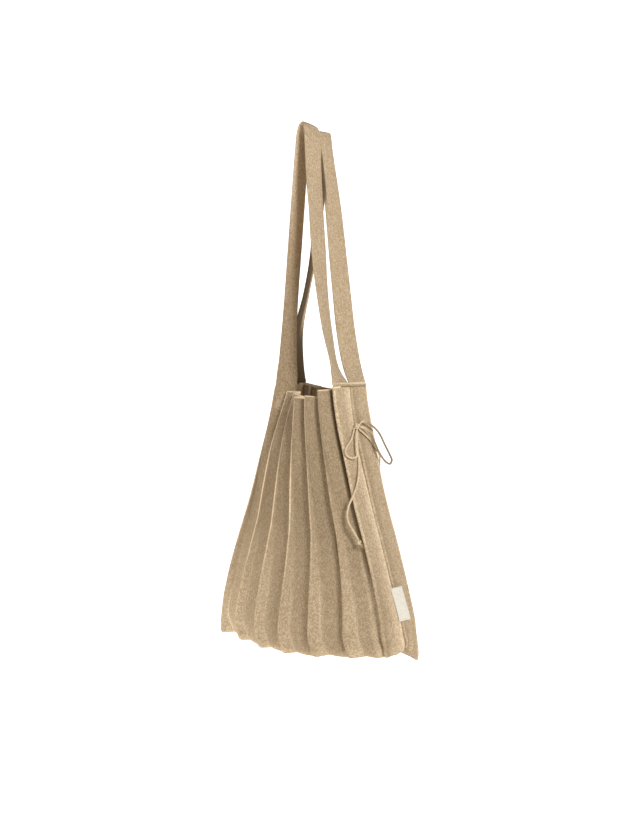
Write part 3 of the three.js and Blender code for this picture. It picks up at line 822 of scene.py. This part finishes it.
def body_marks(points):
    """The painted light and shade of every point of the body: a sum of ring patterns, each times a
    ramp over the depth below the rim. The rim and the inside have a mark of their own."""
    pleat_marks = np.stack([FOLD_MARKS, 0 * FOLD_MARKS, VALLEY_MARKS], axis=1).ravel()
    corner_mark = both_halves(np.r_[pleat_marks, GUSSET_MARKS])
    corner = both_halves(np.arange(LAST_FOLD + 1 + GUSSET_CORNERS))
    is_pleat = corner < LAST_FOLD
    is_fold = is_pleat & (corner % 3 == 0)
    is_strip = is_pleat & (corner % 3 == 1)
    share = np.arange(1, FACE_POINTS + 1) / (FACE_POINTS + 1)
    no_face = np.zeros((len(corner), FACE_POINTS))

    before_valley = no_face.copy()
    before_valley[:, -1] = np.minimum(np.roll(corner_mark, -1), 0) * (corner_mark == 0)
    before_valley[corner == NEAR_PANEL] = NEAR_PANEL_MARK * share
    before_valley[corner == FAR_CREASE_EDGE] = FAR_PANEL_MARK * (1 - share)
    folds = ring_of(corner_mark, before_valley).ravel()
    near_gusset = ring_of(corner == LAST_FOLD, np.outer(corner == LAST_FOLD, 1 - share)).ravel()
    last_face = no_face.copy()
    last_face[corner == LAST_STRIP, -2:] = LAST_FACE_MARKS
    last_face[corner == LAST_VALLEY] = LAST_VALLEY_MARK
    shadow = ring_of(LAST_VALLEY_MARK * (corner == LAST_VALLEY), last_face).ravel()
    strips = ring_of(0 * corner, no_face + is_fold[:, None]).ravel()
    strip_edges = ring_of(is_strip, no_face).ravel()
    on_pleats = ring_of(is_pleat, no_face + is_pleat[:, None]).ravel()
    on_gusset = ring_of(corner > LAST_FOLD, no_face + (corner > LAST_FOLD)[:, None]).ravel()

    depth = RIM_Z - points[..., 2]
    low_down = ramp(depth, *LIGHT_GETS_IN)
    to_left = ramp(-points[..., 0], *TO_LEFT)
    # Painted highlights on the folds, strips, strip edges and rim; painted shade in the valleys,
    # beside the last fold and on the gussets' rim; painted highlight and shade along the gusset's
    # panels and crease; painted shade over the pleats that turns to painted light low down and on the
    # left; painted light that softens the shadow before the last valley.
    fade = np.where(folds < 0, FADE_DARK, FADE_LIGHT) * on_pleats * low_down
    mark = folds * (1 - fade)
    mark += on_pleats * ((LOW_PLEAT_MARK + LOW_LEFT_MARK * to_left) * low_down + PLEAT_MARK)
    mark += NEAR_GUSSET_MARK * near_gusset * ramp(depth, *NEAR_GUSSET_STARTS)
    mark += shadow * ramp(depth, *LAST_FACE_STARTS)
    mark += STRIP_MARK * strips * ramp(depth, *STRIP_STARTS)
    mark += STRIP_EDGE_MARK * strip_edges * ramp(depth, *STRIP_EDGE_STARTS)
    mark[RIM_MIDDLE_ROW + RIM_REACH :] += INSIDE_MARK
    from_rim = np.abs(np.arange(len(points)) - RIM_MIDDLE_ROW)
    mark[from_rim < RIM_REACH] = RIM_MARK + (RIM_GUSSET_MARK - RIM_MARK) * on_gusset
    return mark


body_mark = body_marks(body_points)
mark_points(bag_body, body_mark)
print("marks from", round(body_mark.min(), 2), "to", round(body_mark.max(), 2))

# %% [markdown]
# ## Straps
#
# Each strap is a flat knit band. It goes up from one side, over the hang point and down to the
# other side, and twists a little on the way. It could be a plane with Solidify, but a profile along
# a line gives it rounded edges at once. The profile is a flat oval. The line and the twist follow
# the CAD part's table, apart from a few values that were tuned to the photo. The front strap's left
# end has no seam: it runs on down over the first pleat and gets thinner there, so that strap and
# pleat are one cloth as in the photo. Where the legs keep each other in the dark, they are marked
# as the body is.

# %% Sizes and routes of the straps
STRAP_WIDTH = 22.5
STRAP_THICKNESS = 2.6
STRAP_POINTS = 200
STRAP_SIDES = 32
STRAP_ANGLE = np.linspace(0, -2 * np.pi, STRAP_SIDES, endpoint=False)
STRAP_FOOT_Z = RIM_Z + 0.3
STRAP_BLUNT_WIDE = 0.5
STRAP_BLUNT_THICK = 0.7
FRONT_TILT = 16
BACK_TILT = 5
TILT_FADE = 60.0
CURL = 0.5
CURL_RUN = 37.0
SLEEVE_RUN = 34.0
SLEEVE_THIN = 0.64
SLEEVE_BROAD = 1.1
THIN_START = 2.0
BROAD_START = 8.0
TOP_SHADE_Z = (-110, -20)
LOW_SHADE_ENDS_Z = (-160, -80)
LOW_SHADE_STARTS_Z = (-292, -262)
LIT_STARTS_Z = (-225, -195)
BEHIND_STARTS_Z = (-85, -60)
BEHIND_ENDS_Z = (-14, -6)
INSIDE_FROM = -0.1
LIT_SIDE_FROM = 0.1
EDGE_FROM = -0.7
STRAP_FRONT = [
    (-42, -17.6, -295, 24), (-39.4, -16.3, -281, 30), (-37, -14.6, -267, 44),
    (-36.8, -13.2, -247, 78), (-36.2, -11.8, -212, 96), (-31.8, -11.6, -170, 101),
    (-26.6, -11.6, -127, 101), (-22, -11.6, -84, 101), (-18.8, -11.6, -53, 101),
    (-13.2, -11.6, -20, 94), (-9.6, -11.6, -4, 91), (-2.8, -11.6, 5.2, 90), (1.9, -11.6, -4, 90),
    (3.6, -11.6, -20, 90), (5, -11.6, -53, 95), (7.8, -11.6, -84, 99), (12.4, -11.8, -127, 99),
    (18.6, -11.8, -170, 109), (27.6, -11.8, -212, 116), (38.6, -11.6, -247, 121),
    (48.6, -11.4, STRAP_FOOT_Z, 89),
]
STRAP_BACK = [
    (-50, 11.4, STRAP_FOOT_Z, 88), (-52, 11.6, -247, 98), (-49.8, 11.8, -212, 114),
    (-35.6, 11.8, -170, 126), (-22.8, 11.8, -127, 122), (-16.2, 11.8, -84, 110),
    (-12.6, 10.6, -53, 100), (-9.2, 8.2, -20, 92), (-7.7, 7.6, -9, 92), (-3.9, 7.6, -1.4, 94),
    (-0.5, 7.6, -9, 98), (1.3, 8, -20, 101), (4.8, 10.6, -53, 98), (8.6, 11.8, -84, 92),
    (14.8, 11.8, -127, 86), (21.9, 11.7, -170, 82), (29.4, 11.5, -212, 79), (39.2, 11.4, -247, 81),
    (48.6, 11.4, STRAP_FOOT_Z, 90),
]
print("straps through", len(STRAP_FRONT), "and", len(STRAP_BACK), "places")

# %% Straps
def strap_frames(rows, tilt):
    """The strap's line with the direction across it, which turns as the rows say and tips over by
    the tilt near the top, and the direction square to its face."""
    line, length = smooth_line(rows, STRAP_POINTS)
    middle, turn = line[:, :3], np.radians(line[:, 3])
    along = unit(np.gradient(middle, axis=0))
    dip = math.sin(math.radians(tilt)) * np.clip(1 + middle[:, 2] / TILT_FADE, 0, 1)
    across = np.stack([np.cos(turn), np.sin(turn), -dip], axis=1)
    across = unit(across - along * (across * along).sum(1, keepdims=True))
    return middle, across, np.cross(across, along), length


def make_strap(name, node_name, rows, tilt, sleeve_run):
    """A flat oval carried along the strap's line. Point (i, a) is the line's point plus cos a of
    half the width across and sin a of half the thickness out. Both are raised to a power below 1,
    so the oval is flat in the middle and round at its edges. Over the first sleeve_run mm it is
    thinner and broader, so that it is a close sleeve over the pleat it runs on into."""
    middle, across, face, length = strap_frames(rows, tilt)
    wide = blunt(np.cos(STRAP_ANGLE), STRAP_BLUNT_WIDE) * STRAP_WIDTH / 2
    thick = blunt(np.sin(STRAP_ANGLE), STRAP_BLUNT_THICK) * STRAP_THICKNESS / 2
    run = np.linspace(0, length, STRAP_POINTS)
    thin = broad = np.ones(STRAP_POINTS)
    if sleeve_run:
        thin = SLEEVE_THIN + (1 - SLEEVE_THIN) * ramp(run, THIN_START, sleeve_run)
        broad = SLEEVE_BROAD + (1 - SLEEVE_BROAD) * ramp(run, BROAD_START, sleeve_run)
    curl = CURL * np.sin(run / CURL_RUN)[:, None] * (2 * wide / STRAP_WIDTH)[None, :] ** 2
    lift = thick[None, :] * thin[:, None] + curl * np.sin(np.pi * run / length)[:, None]
    side = (wide[None, :] * broad[:, None])[..., None]
    points = middle[:, None] + across[:, None] * side + face[:, None] * lift[..., None]
    cloth = tube_cloth(STRAP_POINTS, length, STRAP_SIDES, 0)
    edge = np.hypot(np.diff(np.r_[wide, wide[:1]]), np.diff(np.r_[thick, thick[:1]]))
    cloth[..., 0] = np.r_[0, np.cumsum(edge)] / 1000
    piece = make_piece(name, points, cloth, tube_ends(STRAP_POINTS, STRAP_SIDES))
    finish_piece(piece, "strap_knit", node_name)
    print(name, "is", round(length, 1), "mm long")
    return piece


strap_front = make_strap("knit_strap_front", "strap_front", STRAP_FRONT, FRONT_TILT, SLEEVE_RUN)
strap_back = make_strap("knit_strap_back", "strap_back", STRAP_BACK, BACK_TILT, 0)
print("straps", STRAP_WIDTH, "mm wide")

# %% Dark places of the straps
def shade_inside(piece, frames, top, low, lit, edge):
    """Marks where the other legs keep a strap in the dark: the inside of its left leg, with the
    value top right under the strap's top, and further down the value low on the half away from the
    light and lit on the other half, and the edge of its right leg behind the other strap."""
    height = frames[0][:, 2]
    is_left = np.arange(STRAP_POINTS) < height.argmax()
    is_inside = np.sin(STRAP_ANGLE) > INSIDE_FROM
    to_light = np.cos(STRAP_ANGLE) > LIT_SIDE_FROM
    under_top = top * ramp(height, *TOP_SHADE_Z) * is_left
    further = ramp(height, *LOW_SHADE_STARTS_Z) * (1 - ramp(height, *LOW_SHADE_ENDS_Z)) * is_left
    lit_there = low + (lit - low) * ramp(height, *LIT_STARTS_Z)
    behind = edge * ramp(height, *BEHIND_STARTS_Z) * (1 - ramp(height, *BEHIND_ENDS_Z)) * ~is_left
    mark = np.outer(under_top, is_inside) + np.outer(behind, np.cos(STRAP_ANGLE) < EDGE_FROM)
    mark += np.outer(further * low, is_inside & ~to_light) + np.outer(further * lit_there, to_light)
    mark_points(piece, mark)


front_frames = strap_frames(STRAP_FRONT, FRONT_TILT)
back_frames = strap_frames(STRAP_BACK, BACK_TILT)
shade_inside(strap_front, front_frames, top=0.25, low=-0.25, lit=-0.25, edge=0)
shade_inside(strap_back, back_frames, top=-0.8, low=-1.1, lit=0.5, edge=-1.2)
print("2 straps marked")

# %% [markdown]
# ## Seams at the straps' feet
#
# Three of the four strap ends are joined to the body's rim by a linked seam. Outside it shows
# as a thin raised row of loops above a dark gap. It is made as a thin cord across the strap's foot
# whose radius swells once for each stitch.

# %% Strap seams
SEAM_RADIUS = 1.0
SEAM_STITCH = 1.7
SEAM_SWELL = 0.25
SEAM_INSET = 0.3
SEAM_LIFT = 0.1
SEAM_POINTS = 112
SEAM_SIDES = 8


def make_seam(name, painted_light, middle, across, face):
    """A round row of stitches along a flat oval round a strap's foot. Its radius is SEAM_RADIUS
    times 1 + SEAM_SWELL cos of the run along the row, once for each stitch. The second argument is
    its mark: painted light above 0 and painted shade below 0, for the whole seam."""
    angle = np.linspace(0, 2 * np.pi, SEAM_POINTS, endpoint=False)
    wide = blunt(np.cos(angle), STRAP_BLUNT_WIDE) * (STRAP_WIDTH / 2 - SEAM_INSET)
    thick = blunt(np.sin(angle), STRAP_BLUNT_THICK) * (STRAP_THICKNESS / 2 + SEAM_LIFT)
    line = middle + np.outer(wide, across) + np.outer(thick, face)
    closed = np.vstack([line, line[:1]])
    run = np.r_[0, np.cumsum(np.linalg.norm(np.diff(closed, axis=0), axis=1))]
    even = np.linspace(0, run[-1], SEAM_POINTS * 3, endpoint=False)
    path = np.stack([np.interp(even, run, column) for column in closed.T], axis=1)
    out = unit(path - middle)
    stitches = round(run[-1] / SEAM_STITCH)
    radius = SEAM_RADIUS * (1 + SEAM_SWELL * np.cos(2 * np.pi * stitches * even / run[-1]))
    around = np.linspace(0, -2 * np.pi, SEAM_SIDES, endpoint=False)
    up = np.cross(across, face)
    ring = np.cos(around)[None, :, None] * out[:, None] + np.sin(around)[None, :, None] * up
    points = path[:, None] + radius[:, None, None] * ring
    cloth = tube_cloth(len(path) + 1, run[-1], SEAM_SIDES, 2 * np.pi * SEAM_RADIUS)
    piece = make_piece(name, points, cloth, [])
    mark_points(piece, np.full(len(piece.data.vertices), painted_light))
    finish_piece(piece, "strap_knit")
    return piece


front_right_foot = [part[-2] for part in front_frames[:3]]
back_left_foot = [part[1] for part in back_frames[:3]]
back_right_foot = [part[-2] for part in back_frames[:3]]
# Painted light on the two right seams and painted shade on the back left one.
seam_front_right = make_seam("strap_seam_front_right", 0.4, *front_right_foot)
seam_back_left = make_seam("strap_seam_back_left", -1.0, *back_left_foot)
seam_back_right = make_seam("strap_seam_back_right", 0.6, *back_right_foot)
print("3 strap seams")

# %% [markdown]
# ## Label
#
# The label is a small piece of woven tape on the side panel, sewn on beside the crease and turned
# a little. It is left blank. A plane with Solidify would do, but a flat oval profile again, this time
# carried down the panel, has round edges and lies a little above the knit all the way. Two rows of
# short stitches hold its upper and its lower edge.

# %% Label
LABEL_TOP = 203.0
LABEL_BOTTOM = 238.5
LABEL_NEAR = -3.2
LABEL_TILT = 0.105
LABEL_WIDTH = 15.5
LABEL_THICKNESS = 0.8
LABEL_GAP = 0.6
LABEL_ROWS = 40
LABEL_SIDES = 44
LABEL_BLUNT = 0.4
LABEL_WAVE = 0.12
LABEL_WAVE_DOWN = 4.5
LABEL_WAVE_ACROSS = 5.0


def label_place(depth, along, lift):
    """A place on the side panel: depth down from the rim, along from the crease, lifted off it. The
    tilt turns the label a little: it moves back with the depth and up with the way across."""
    turned = depth - LABEL_TILT * (along - LABEL_NEAR - LABEL_WIDTH / 2)
    level = level_at(turned.ravel())
    swing = SWING * level["depth"] / BODY_HEIGHT
    surface = gusset_x(level, along.reshape(-1, 1)) + WALL / 2 + LABEL_GAP + swing
    grown = np.maximum(0, level["depth"] - LIFT_START) / (BODY_HEIGHT - LIFT_START)
    z = RIM_Z - level["depth"] + CORNER_LIFT * grown
    across = (along + LABEL_TILT * (depth - LABEL_TOP)).reshape(-1, 1)
    places = np.hstack([surface + lift.reshape(-1, 1), across, z])
    return places.reshape(*depth.shape, 3)


def make_label():
    """A flat oval round the panel's direction, carried down from the upper to the lower edge."""
    angle = np.linspace(0, 2 * np.pi, LABEL_SIDES, endpoint=False)
    wide = blunt(np.cos(angle), LABEL_BLUNT) * LABEL_WIDTH / 2
    thick = blunt(np.sin(angle), LABEL_BLUNT) * LABEL_THICKNESS / 2
    depth = np.linspace(LABEL_TOP, LABEL_BOTTOM, LABEL_ROWS)[:, None] + 0 * wide
    along = LABEL_NEAR + LABEL_WIDTH / 2 + wide + 0 * depth
    wave = LABEL_WAVE * np.sin(depth / LABEL_WAVE_DOWN) * np.sin(along / LABEL_WAVE_ACROSS)
    lift = LABEL_THICKNESS / 2 + thick + wave
    points = label_place(depth, along, lift)
    cloth = tube_cloth(LABEL_ROWS, LABEL_BOTTOM - LABEL_TOP, LABEL_SIDES, 2 * LABEL_WIDTH)
    piece = make_piece("woven_label", points, cloth, tube_ends(LABEL_ROWS, LABEL_SIDES))
    finish_piece(piece, "label_cloth", "label")
    return piece


label = make_label()
print("label", LABEL_WIDTH, "x", LABEL_BOTTOM - LABEL_TOP, "mm")

# %% Stitches of the label
STITCH_COUNT = 9
STITCH_POINTS = 8
STITCH_SIDES = 6
STITCH_RADIUS = 0.2
STITCH_LENGTH = 1.05
STITCH_HEIGHT = 0.28
STITCH_SINKS = 0.1
STITCH_FROM_EDGE = 1.6
STITCH_FROM_SIDE = 1.2


def make_label_stitches():
    """Short stitches along both edges: each is a thin closed tube along half a sine wave that goes
    into the label at its two ends."""
    rows = np.array([LABEL_TOP + STITCH_FROM_EDGE, LABEL_BOTTOM - STITCH_FROM_EDGE])[:, None, None]
    step = (LABEL_WIDTH - 2 * STITCH_FROM_SIDE) / STITCH_COUNT
    starts = (LABEL_NEAR + STITCH_FROM_SIDE + np.arange(STITCH_COUNT) * step)[None, :, None]
    share = np.linspace(0, 1, STITCH_POINTS)
    depth = rows + 0 * starts + 0 * share
    along = starts + STITCH_LENGTH * share + 0 * rows
    lift = LABEL_THICKNESS - STITCH_SINKS + STITCH_HEIGHT * np.sin(np.pi * share) + 0 * depth
    lines = label_place(depth, along, lift).reshape(-1, STITCH_POINTS, 3)
    angle = np.linspace(0, -2 * np.pi, STITCH_SIDES, endpoint=False)
    ring = STITCH_RADIUS * np.stack([np.cos(angle), 0 * angle, np.sin(angle)], axis=1)
    piece = make_tubes("label_stitches", lines[:, :, None] + ring, True)
    finish_piece(piece, "label_cloth")
    return piece


label_stitches = make_label_stitches()
print(2 * STITCH_COUNT, "stitches on the label")

# %% [markdown]
# ## Knit
#
# The yarn is spun from light and dark fibres, so no two stitches have the same colour. The knit
# material counts stitches in the cloth's own map: a column is a wale and a row is a course. Each
# stitch gets a random number, and that picks its colour between three shades. The same map gives
# a bump of small leaning loops. Larger soft patches come from a noise in the object's own space.
# The marks of the pieces, their painted light and shade, come in as an attribute: they move the
# colour between the shades and scale its brightness.

# %% Tools for materials
def node(tree, kind, **values):
    """A new node with some of its settings and constant inputs set by name."""
    made = tree.nodes.new(kind)
    for key, value in values.items():
        if key in made.inputs:
            made.inputs[key].default_value = value
        else:
            setattr(made, key, value)
    return made


def math_node(tree, operation, first, second=None):
    """One step of arithmetic on a linked value and a number or a second linked value."""
    made = tree.nodes.new("ShaderNodeMath")
    made.operation = operation
    for socket, value in zip(made.inputs, (first, second)):
        if isinstance(value, (int, float)):
            socket.default_value = value
        elif value is not None:
            tree.links.new(value, socket)
    return made.outputs[0]


print("tools for materials are ready")

# %% Stitches in the cloth's map
LOOP_LEAN = 1.3
LOOP_WAVE = 0.35
LOOP_LEVEL = 0.65


def stitch_parts(tree, wale, course):
    """The stitch that a place of the cloth is in, and the height of its two leaning loops there.
    Across a wale there are two loops, left and right. Each is a round ridge, and it leans: its
    course is shifted by the distance from the wale's middle."""
    place = node(tree, "ShaderNodeUVMap", uv_map="cloth")
    parts = node(tree, "ShaderNodeSeparateXYZ")
    tree.links.new(place.outputs[0], parts.inputs[0])
    across = math_node(tree, "DIVIDE", parts.outputs["X"], wale)
    down = math_node(tree, "DIVIDE", parts.outputs["Y"], course)
    inside = math_node(tree, "SUBTRACT", math_node(tree, "FRACT", across), 0.5)
    from_middle = math_node(tree, "ABSOLUTE", inside)
    leaning = math_node(tree, "ADD", down, math_node(tree, "MULTIPLY", from_middle, LOOP_LEAN))
    loop_across = math_node(tree, "SINE", math_node(tree, "MULTIPLY", from_middle, 2 * math.pi))
    phase = math_node(tree, "MULTIPLY", leaning, 2 * math.pi)
    loop_along = math_node(tree, "MULTIPLY_ADD", math_node(tree, "COSINE", phase), LOOP_WAVE)
    loop_along.node.inputs[2].default_value = LOOP_LEVEL
    height = math_node(tree, "MULTIPLY", loop_across, loop_along)
    stitch = node(tree, "ShaderNodeCombineXYZ")
    side = math_node(tree, "FLOOR", math_node(tree, "MULTIPLY", across, 2))
    tree.links.new(side, stitch.inputs["X"])
    tree.links.new(math_node(tree, "FLOOR", leaning), stitch.inputs["Y"])
    return stitch.outputs[0], height


print("a stitch has two loops that lean by", LOOP_LEAN, "of their distance from its middle")

# %% Heathered yarn
YARN_ROUGHNESS = 0.95
YARN_SHINE = 0.12
YARN_SHEEN = 0.04
YARN_SHEEN_ROUGHNESS = 0.6
PATCH_SCALE = 700.0
PATCH_DETAIL = 2.0
PATCH_SHARE = 0.4
LOOP_SHARE = 0.5
LEAST_SHADE = 0.05
DARK_AT = 0.12
MIDDLE_AT = 0.5
LIGHT_AT = 0.88
MARK_STRENGTH = 0.5
DIMMEST = 0.15
BRIGHTEST = 1.35
BUMP_DISTANCE = 0.0005


def knit_material(name, shades, wale, course, bump):
    """Heathered knit: a random shade for each loop, larger patches, and a bump of loops. The shade
    is LEAST_SHADE plus a share of each, and it picks a colour between the three shades."""
    material = bpy.data.materials.new(name)
    material.use_nodes = True
    tree = material.node_tree
    shader = tree.nodes["Principled BSDF"]
    shader.inputs["Roughness"].default_value = YARN_ROUGHNESS
    shader.inputs["Specular IOR Level"].default_value = YARN_SHINE
    shader.inputs["Sheen Weight"].default_value = YARN_SHEEN
    shader.inputs["Sheen Roughness"].default_value = YARN_SHEEN_ROUGHNESS
    stitch, height = stitch_parts(tree, wale, course)
    random = node(tree, "ShaderNodeTexWhiteNoise", noise_dimensions="2D")
    tree.links.new(stitch, random.inputs["Vector"])
    own_space = node(tree, "ShaderNodeTexCoord")
    patch = node(tree, "ShaderNodeTexNoise", Scale=PATCH_SCALE, Detail=PATCH_DETAIL)
    tree.links.new(own_space.outputs["Object"], patch.inputs["Vector"])
    loop_share = math_node(tree, "MULTIPLY_ADD", random.outputs["Value"], LOOP_SHARE)
    loop_share.node.inputs[2].default_value = LEAST_SHADE
    shade = math_node(tree, "MULTIPLY_ADD", patch.outputs[0], PATCH_SHARE)
    tree.links.new(loop_share, shade.node.inputs[2])
    colours = node(tree, "ShaderNodeValToRGB")
    dark, middle, light = shades
    colour_ramp = colours.color_ramp
    colour_ramp.elements[0].position = DARK_AT
    colour_ramp.elements[0].color = (*dark, 1)
    colour_ramp.elements[1].position = LIGHT_AT
    colour_ramp.elements[1].color = (*light, 1)
    between = colour_ramp.elements.new(MIDDLE_AT)
    between.color = (*middle, 1)
    # Painted light and shade: the piece's marks move the colour towards the light or the dark shade
    # and scale its brightness.
    painted_light = node(tree, "ShaderNodeAttribute", attribute_name="painted_light")
    lifted = math_node(tree, "MULTIPLY_ADD", painted_light.outputs["Fac"], MARK_STRENGTH)
    tree.links.new(shade, lifted.node.inputs[2])
    tree.links.new(lifted, colours.inputs[0])
    dimmed = math_node(tree, "MULTIPLY_ADD", painted_light.outputs["Fac"], MARK_STRENGTH)
    dimmed.node.inputs[2].default_value = 1.0
    dimmed = math_node(tree, "MINIMUM", math_node(tree, "MAXIMUM", dimmed, DIMMEST), BRIGHTEST)
    shaded = node(tree, "ShaderNodeVectorMath", operation="SCALE")
    tree.links.new(colours.outputs[0], shaded.inputs[0])
    tree.links.new(dimmed, shaded.inputs["Scale"])
    tree.links.new(shaded.outputs[0], shader.inputs["Base Color"])
    relief = node(tree, "ShaderNodeBump", Strength=bump, Distance=BUMP_DISTANCE)
    tree.links.new(height, relief.inputs["Height"])
    tree.links.new(relief.outputs[0], shader.inputs["Normal"])
    return material


print("the knit's shade runs from", LEAST_SHADE, "to", LEAST_SHADE + LOOP_SHARE + PATCH_SHARE)

# %% Finishes of the pieces
KNIT_SHADES = [(0.29, 0.195, 0.10), (0.43, 0.313, 0.187), (0.60, 0.465, 0.305)]
CORD_SHADES = [(0.45, 0.33, 0.19), (0.62, 0.48, 0.30), (0.76, 0.62, 0.42)]
LABEL_SHADES = [(0.56, 0.50, 0.40), (0.64, 0.59, 0.48), (0.70, 0.65, 0.55)]
knit = knit_material("knit", KNIT_SHADES, wale=0.0015, course=0.0012, bump=0.6)
strap_knit = knit_material("strap_knit", KNIT_SHADES, wale=0.0015, course=0.0012, bump=0.6)
cord_yarn = knit_material("cord_yarn", CORD_SHADES, wale=0.0009, course=0.0012, bump=0.4)
label_cloth = knit_material("label_cloth", LABEL_SHADES, wale=0.0006, course=0.0006, bump=0.3)
bag_body.data.materials.append(knit)
for piece in (strap_front, strap_back, seam_front_right, seam_back_left, seam_back_right):
    piece.data.materials.append(strap_knit)
for piece in (loop_right, loop_left, tail_front, tail_back, knot):
    piece.data.materials.append(cord_yarn)
for piece in (end_front, end_back, fibres_front, fibres_back):
    piece.data.materials.append(cord_yarn)
for piece in (label, label_stitches):
    piece.data.materials.append(label_cloth)
print("4 materials")

# %% [markdown]
# ## Floor and light
#
# The photo is a studio picture on white. The bag hangs well above a pale floor whose back edge
# curves up into a wall, as a photographer's paper does. A big soft light stands to the right,
# so the right side of the bag is the lightest. A weaker one stands on the left, and a dim warm light
# comes from all round.

# %% Paper floor
FLOOR_Z = -1.2
FLOOR_FRONT = -4.0
FLOOR_BACK = 3.5
FLOOR_CURVE = 1.0
FLOOR_SIDE = 7.0
PAPER_TOP = 5.0
PAPER_COLOUR = (0.95, 0.95, 0.95, 1)
PAPER_GLOW = 0.75
PAPER_SHINE = 0.15
CURVE_STEPS = 15


def paper_material():
    """White matt paper that gives off a little light of its own, as paper lit from behind does."""
    material = bpy.data.materials.new("paper")
    material.use_nodes = True
    shader = material.node_tree.nodes["Principled BSDF"]
    shader.inputs["Base Color"].default_value = PAPER_COLOUR
    shader.inputs["Roughness"].default_value = 1.0
    shader.inputs["Specular IOR Level"].default_value = PAPER_SHINE
    shader.inputs["Emission Color"].default_value = PAPER_COLOUR
    shader.inputs["Emission Strength"].default_value = PAPER_GLOW
    return material


def make_floor():
    """A sheet of paper: flat up to FLOOR_BACK behind the bag, then a quarter turn with the radius
    FLOOR_CURVE, then straight up. It lies across the camera's view."""
    angle = np.linspace(0, np.pi / 2, CURVE_STEPS + 1)[1:]
    curve_run = FLOOR_BACK + FLOOR_CURVE * np.sin(angle)
    curve_height = FLOOR_CURVE * (1 - np.cos(angle))
    run = np.r_[FLOOR_FRONT, FLOOR_BACK, curve_run, FLOOR_BACK + FLOOR_CURVE]
    height = np.r_[0, 0, curve_height, PAPER_TOP]
    side = np.array([-FLOOR_SIDE, FLOOR_SIDE])
    run_grid, side_grid = np.meshgrid(run, side, indexing="ij")
    height_grid = np.meshgrid(height, side, indexing="ij")[0]
    x = -run_grid * math.sin(CAMERA_TURN) + side_grid * math.cos(CAMERA_TURN)
    y = run_grid * math.cos(CAMERA_TURN) + side_grid * math.sin(CAMERA_TURN)
    points = np.stack([x, y, height_grid + FLOOR_Z], axis=-1).reshape(-1, 3)
    row = np.arange(len(run) - 1)
    faces = np.stack([2 * row, 2 * row + 1, 2 * row + 3, 2 * row + 2], axis=1)
    mesh = bpy.data.meshes.new("floor")
    mesh.from_pydata(points.tolist(), [], faces.tolist())
    mesh.polygons.foreach_set("use_smooth", np.ones(len(faces), bool))
    mesh.update()
    floor = bpy.data.objects.new("floor", mesh)
    bpy.context.scene.collection.objects.link(floor)
    floor.data.materials.append(paper_material())


make_floor()
print("paper floor at", FLOOR_Z, "m")

# %% Light
BAG_MIDDLE = np.array([0, 0, -0.3])


def make_light(name, turn, height, distance, size, power, colour):
    """A square soft light of that colour at that turn round the bag, aimed at the bag's middle."""
    data = bpy.data.lights.new(name, "AREA")
    data.size = size
    data.energy = power
    data.color = colour
    lamp = bpy.data.objects.new(name, data)
    angle = math.radians(turn)
    lamp.location = (distance * math.sin(angle), -distance * math.cos(angle), height)
    to_bag = BAG_MIDDLE - np.array(lamp.location)
    level_run = math.hypot(to_bag[0], to_bag[1])
    lamp.rotation_euler = (math.atan2(level_run, -to_bag[2]), 0, math.atan2(-to_bag[0], to_bag[1]))
    bpy.context.scene.collection.objects.link(lamp)


make_light("key", turn=76, height=1.0, distance=2.6, size=0.6, power=83, colour=(0.88, 0.92, 1.0))
make_light("fill", turn=-72, height=-0.6, distance=1.3, size=0.8, power=16, colour=(1.0, 1.0, 1.0))
world = bpy.data.worlds.new("studio")
world.use_nodes = True
background = world.node_tree.nodes["Background"]
background.inputs["Color"].default_value = (1, 0.88, 0.7, 1)
background.inputs["Strength"].default_value = 0.2
bpy.context.scene.world = world
bpy.context.scene.view_settings.view_transform = "Standard"
print("2 lights and a dim warm world")
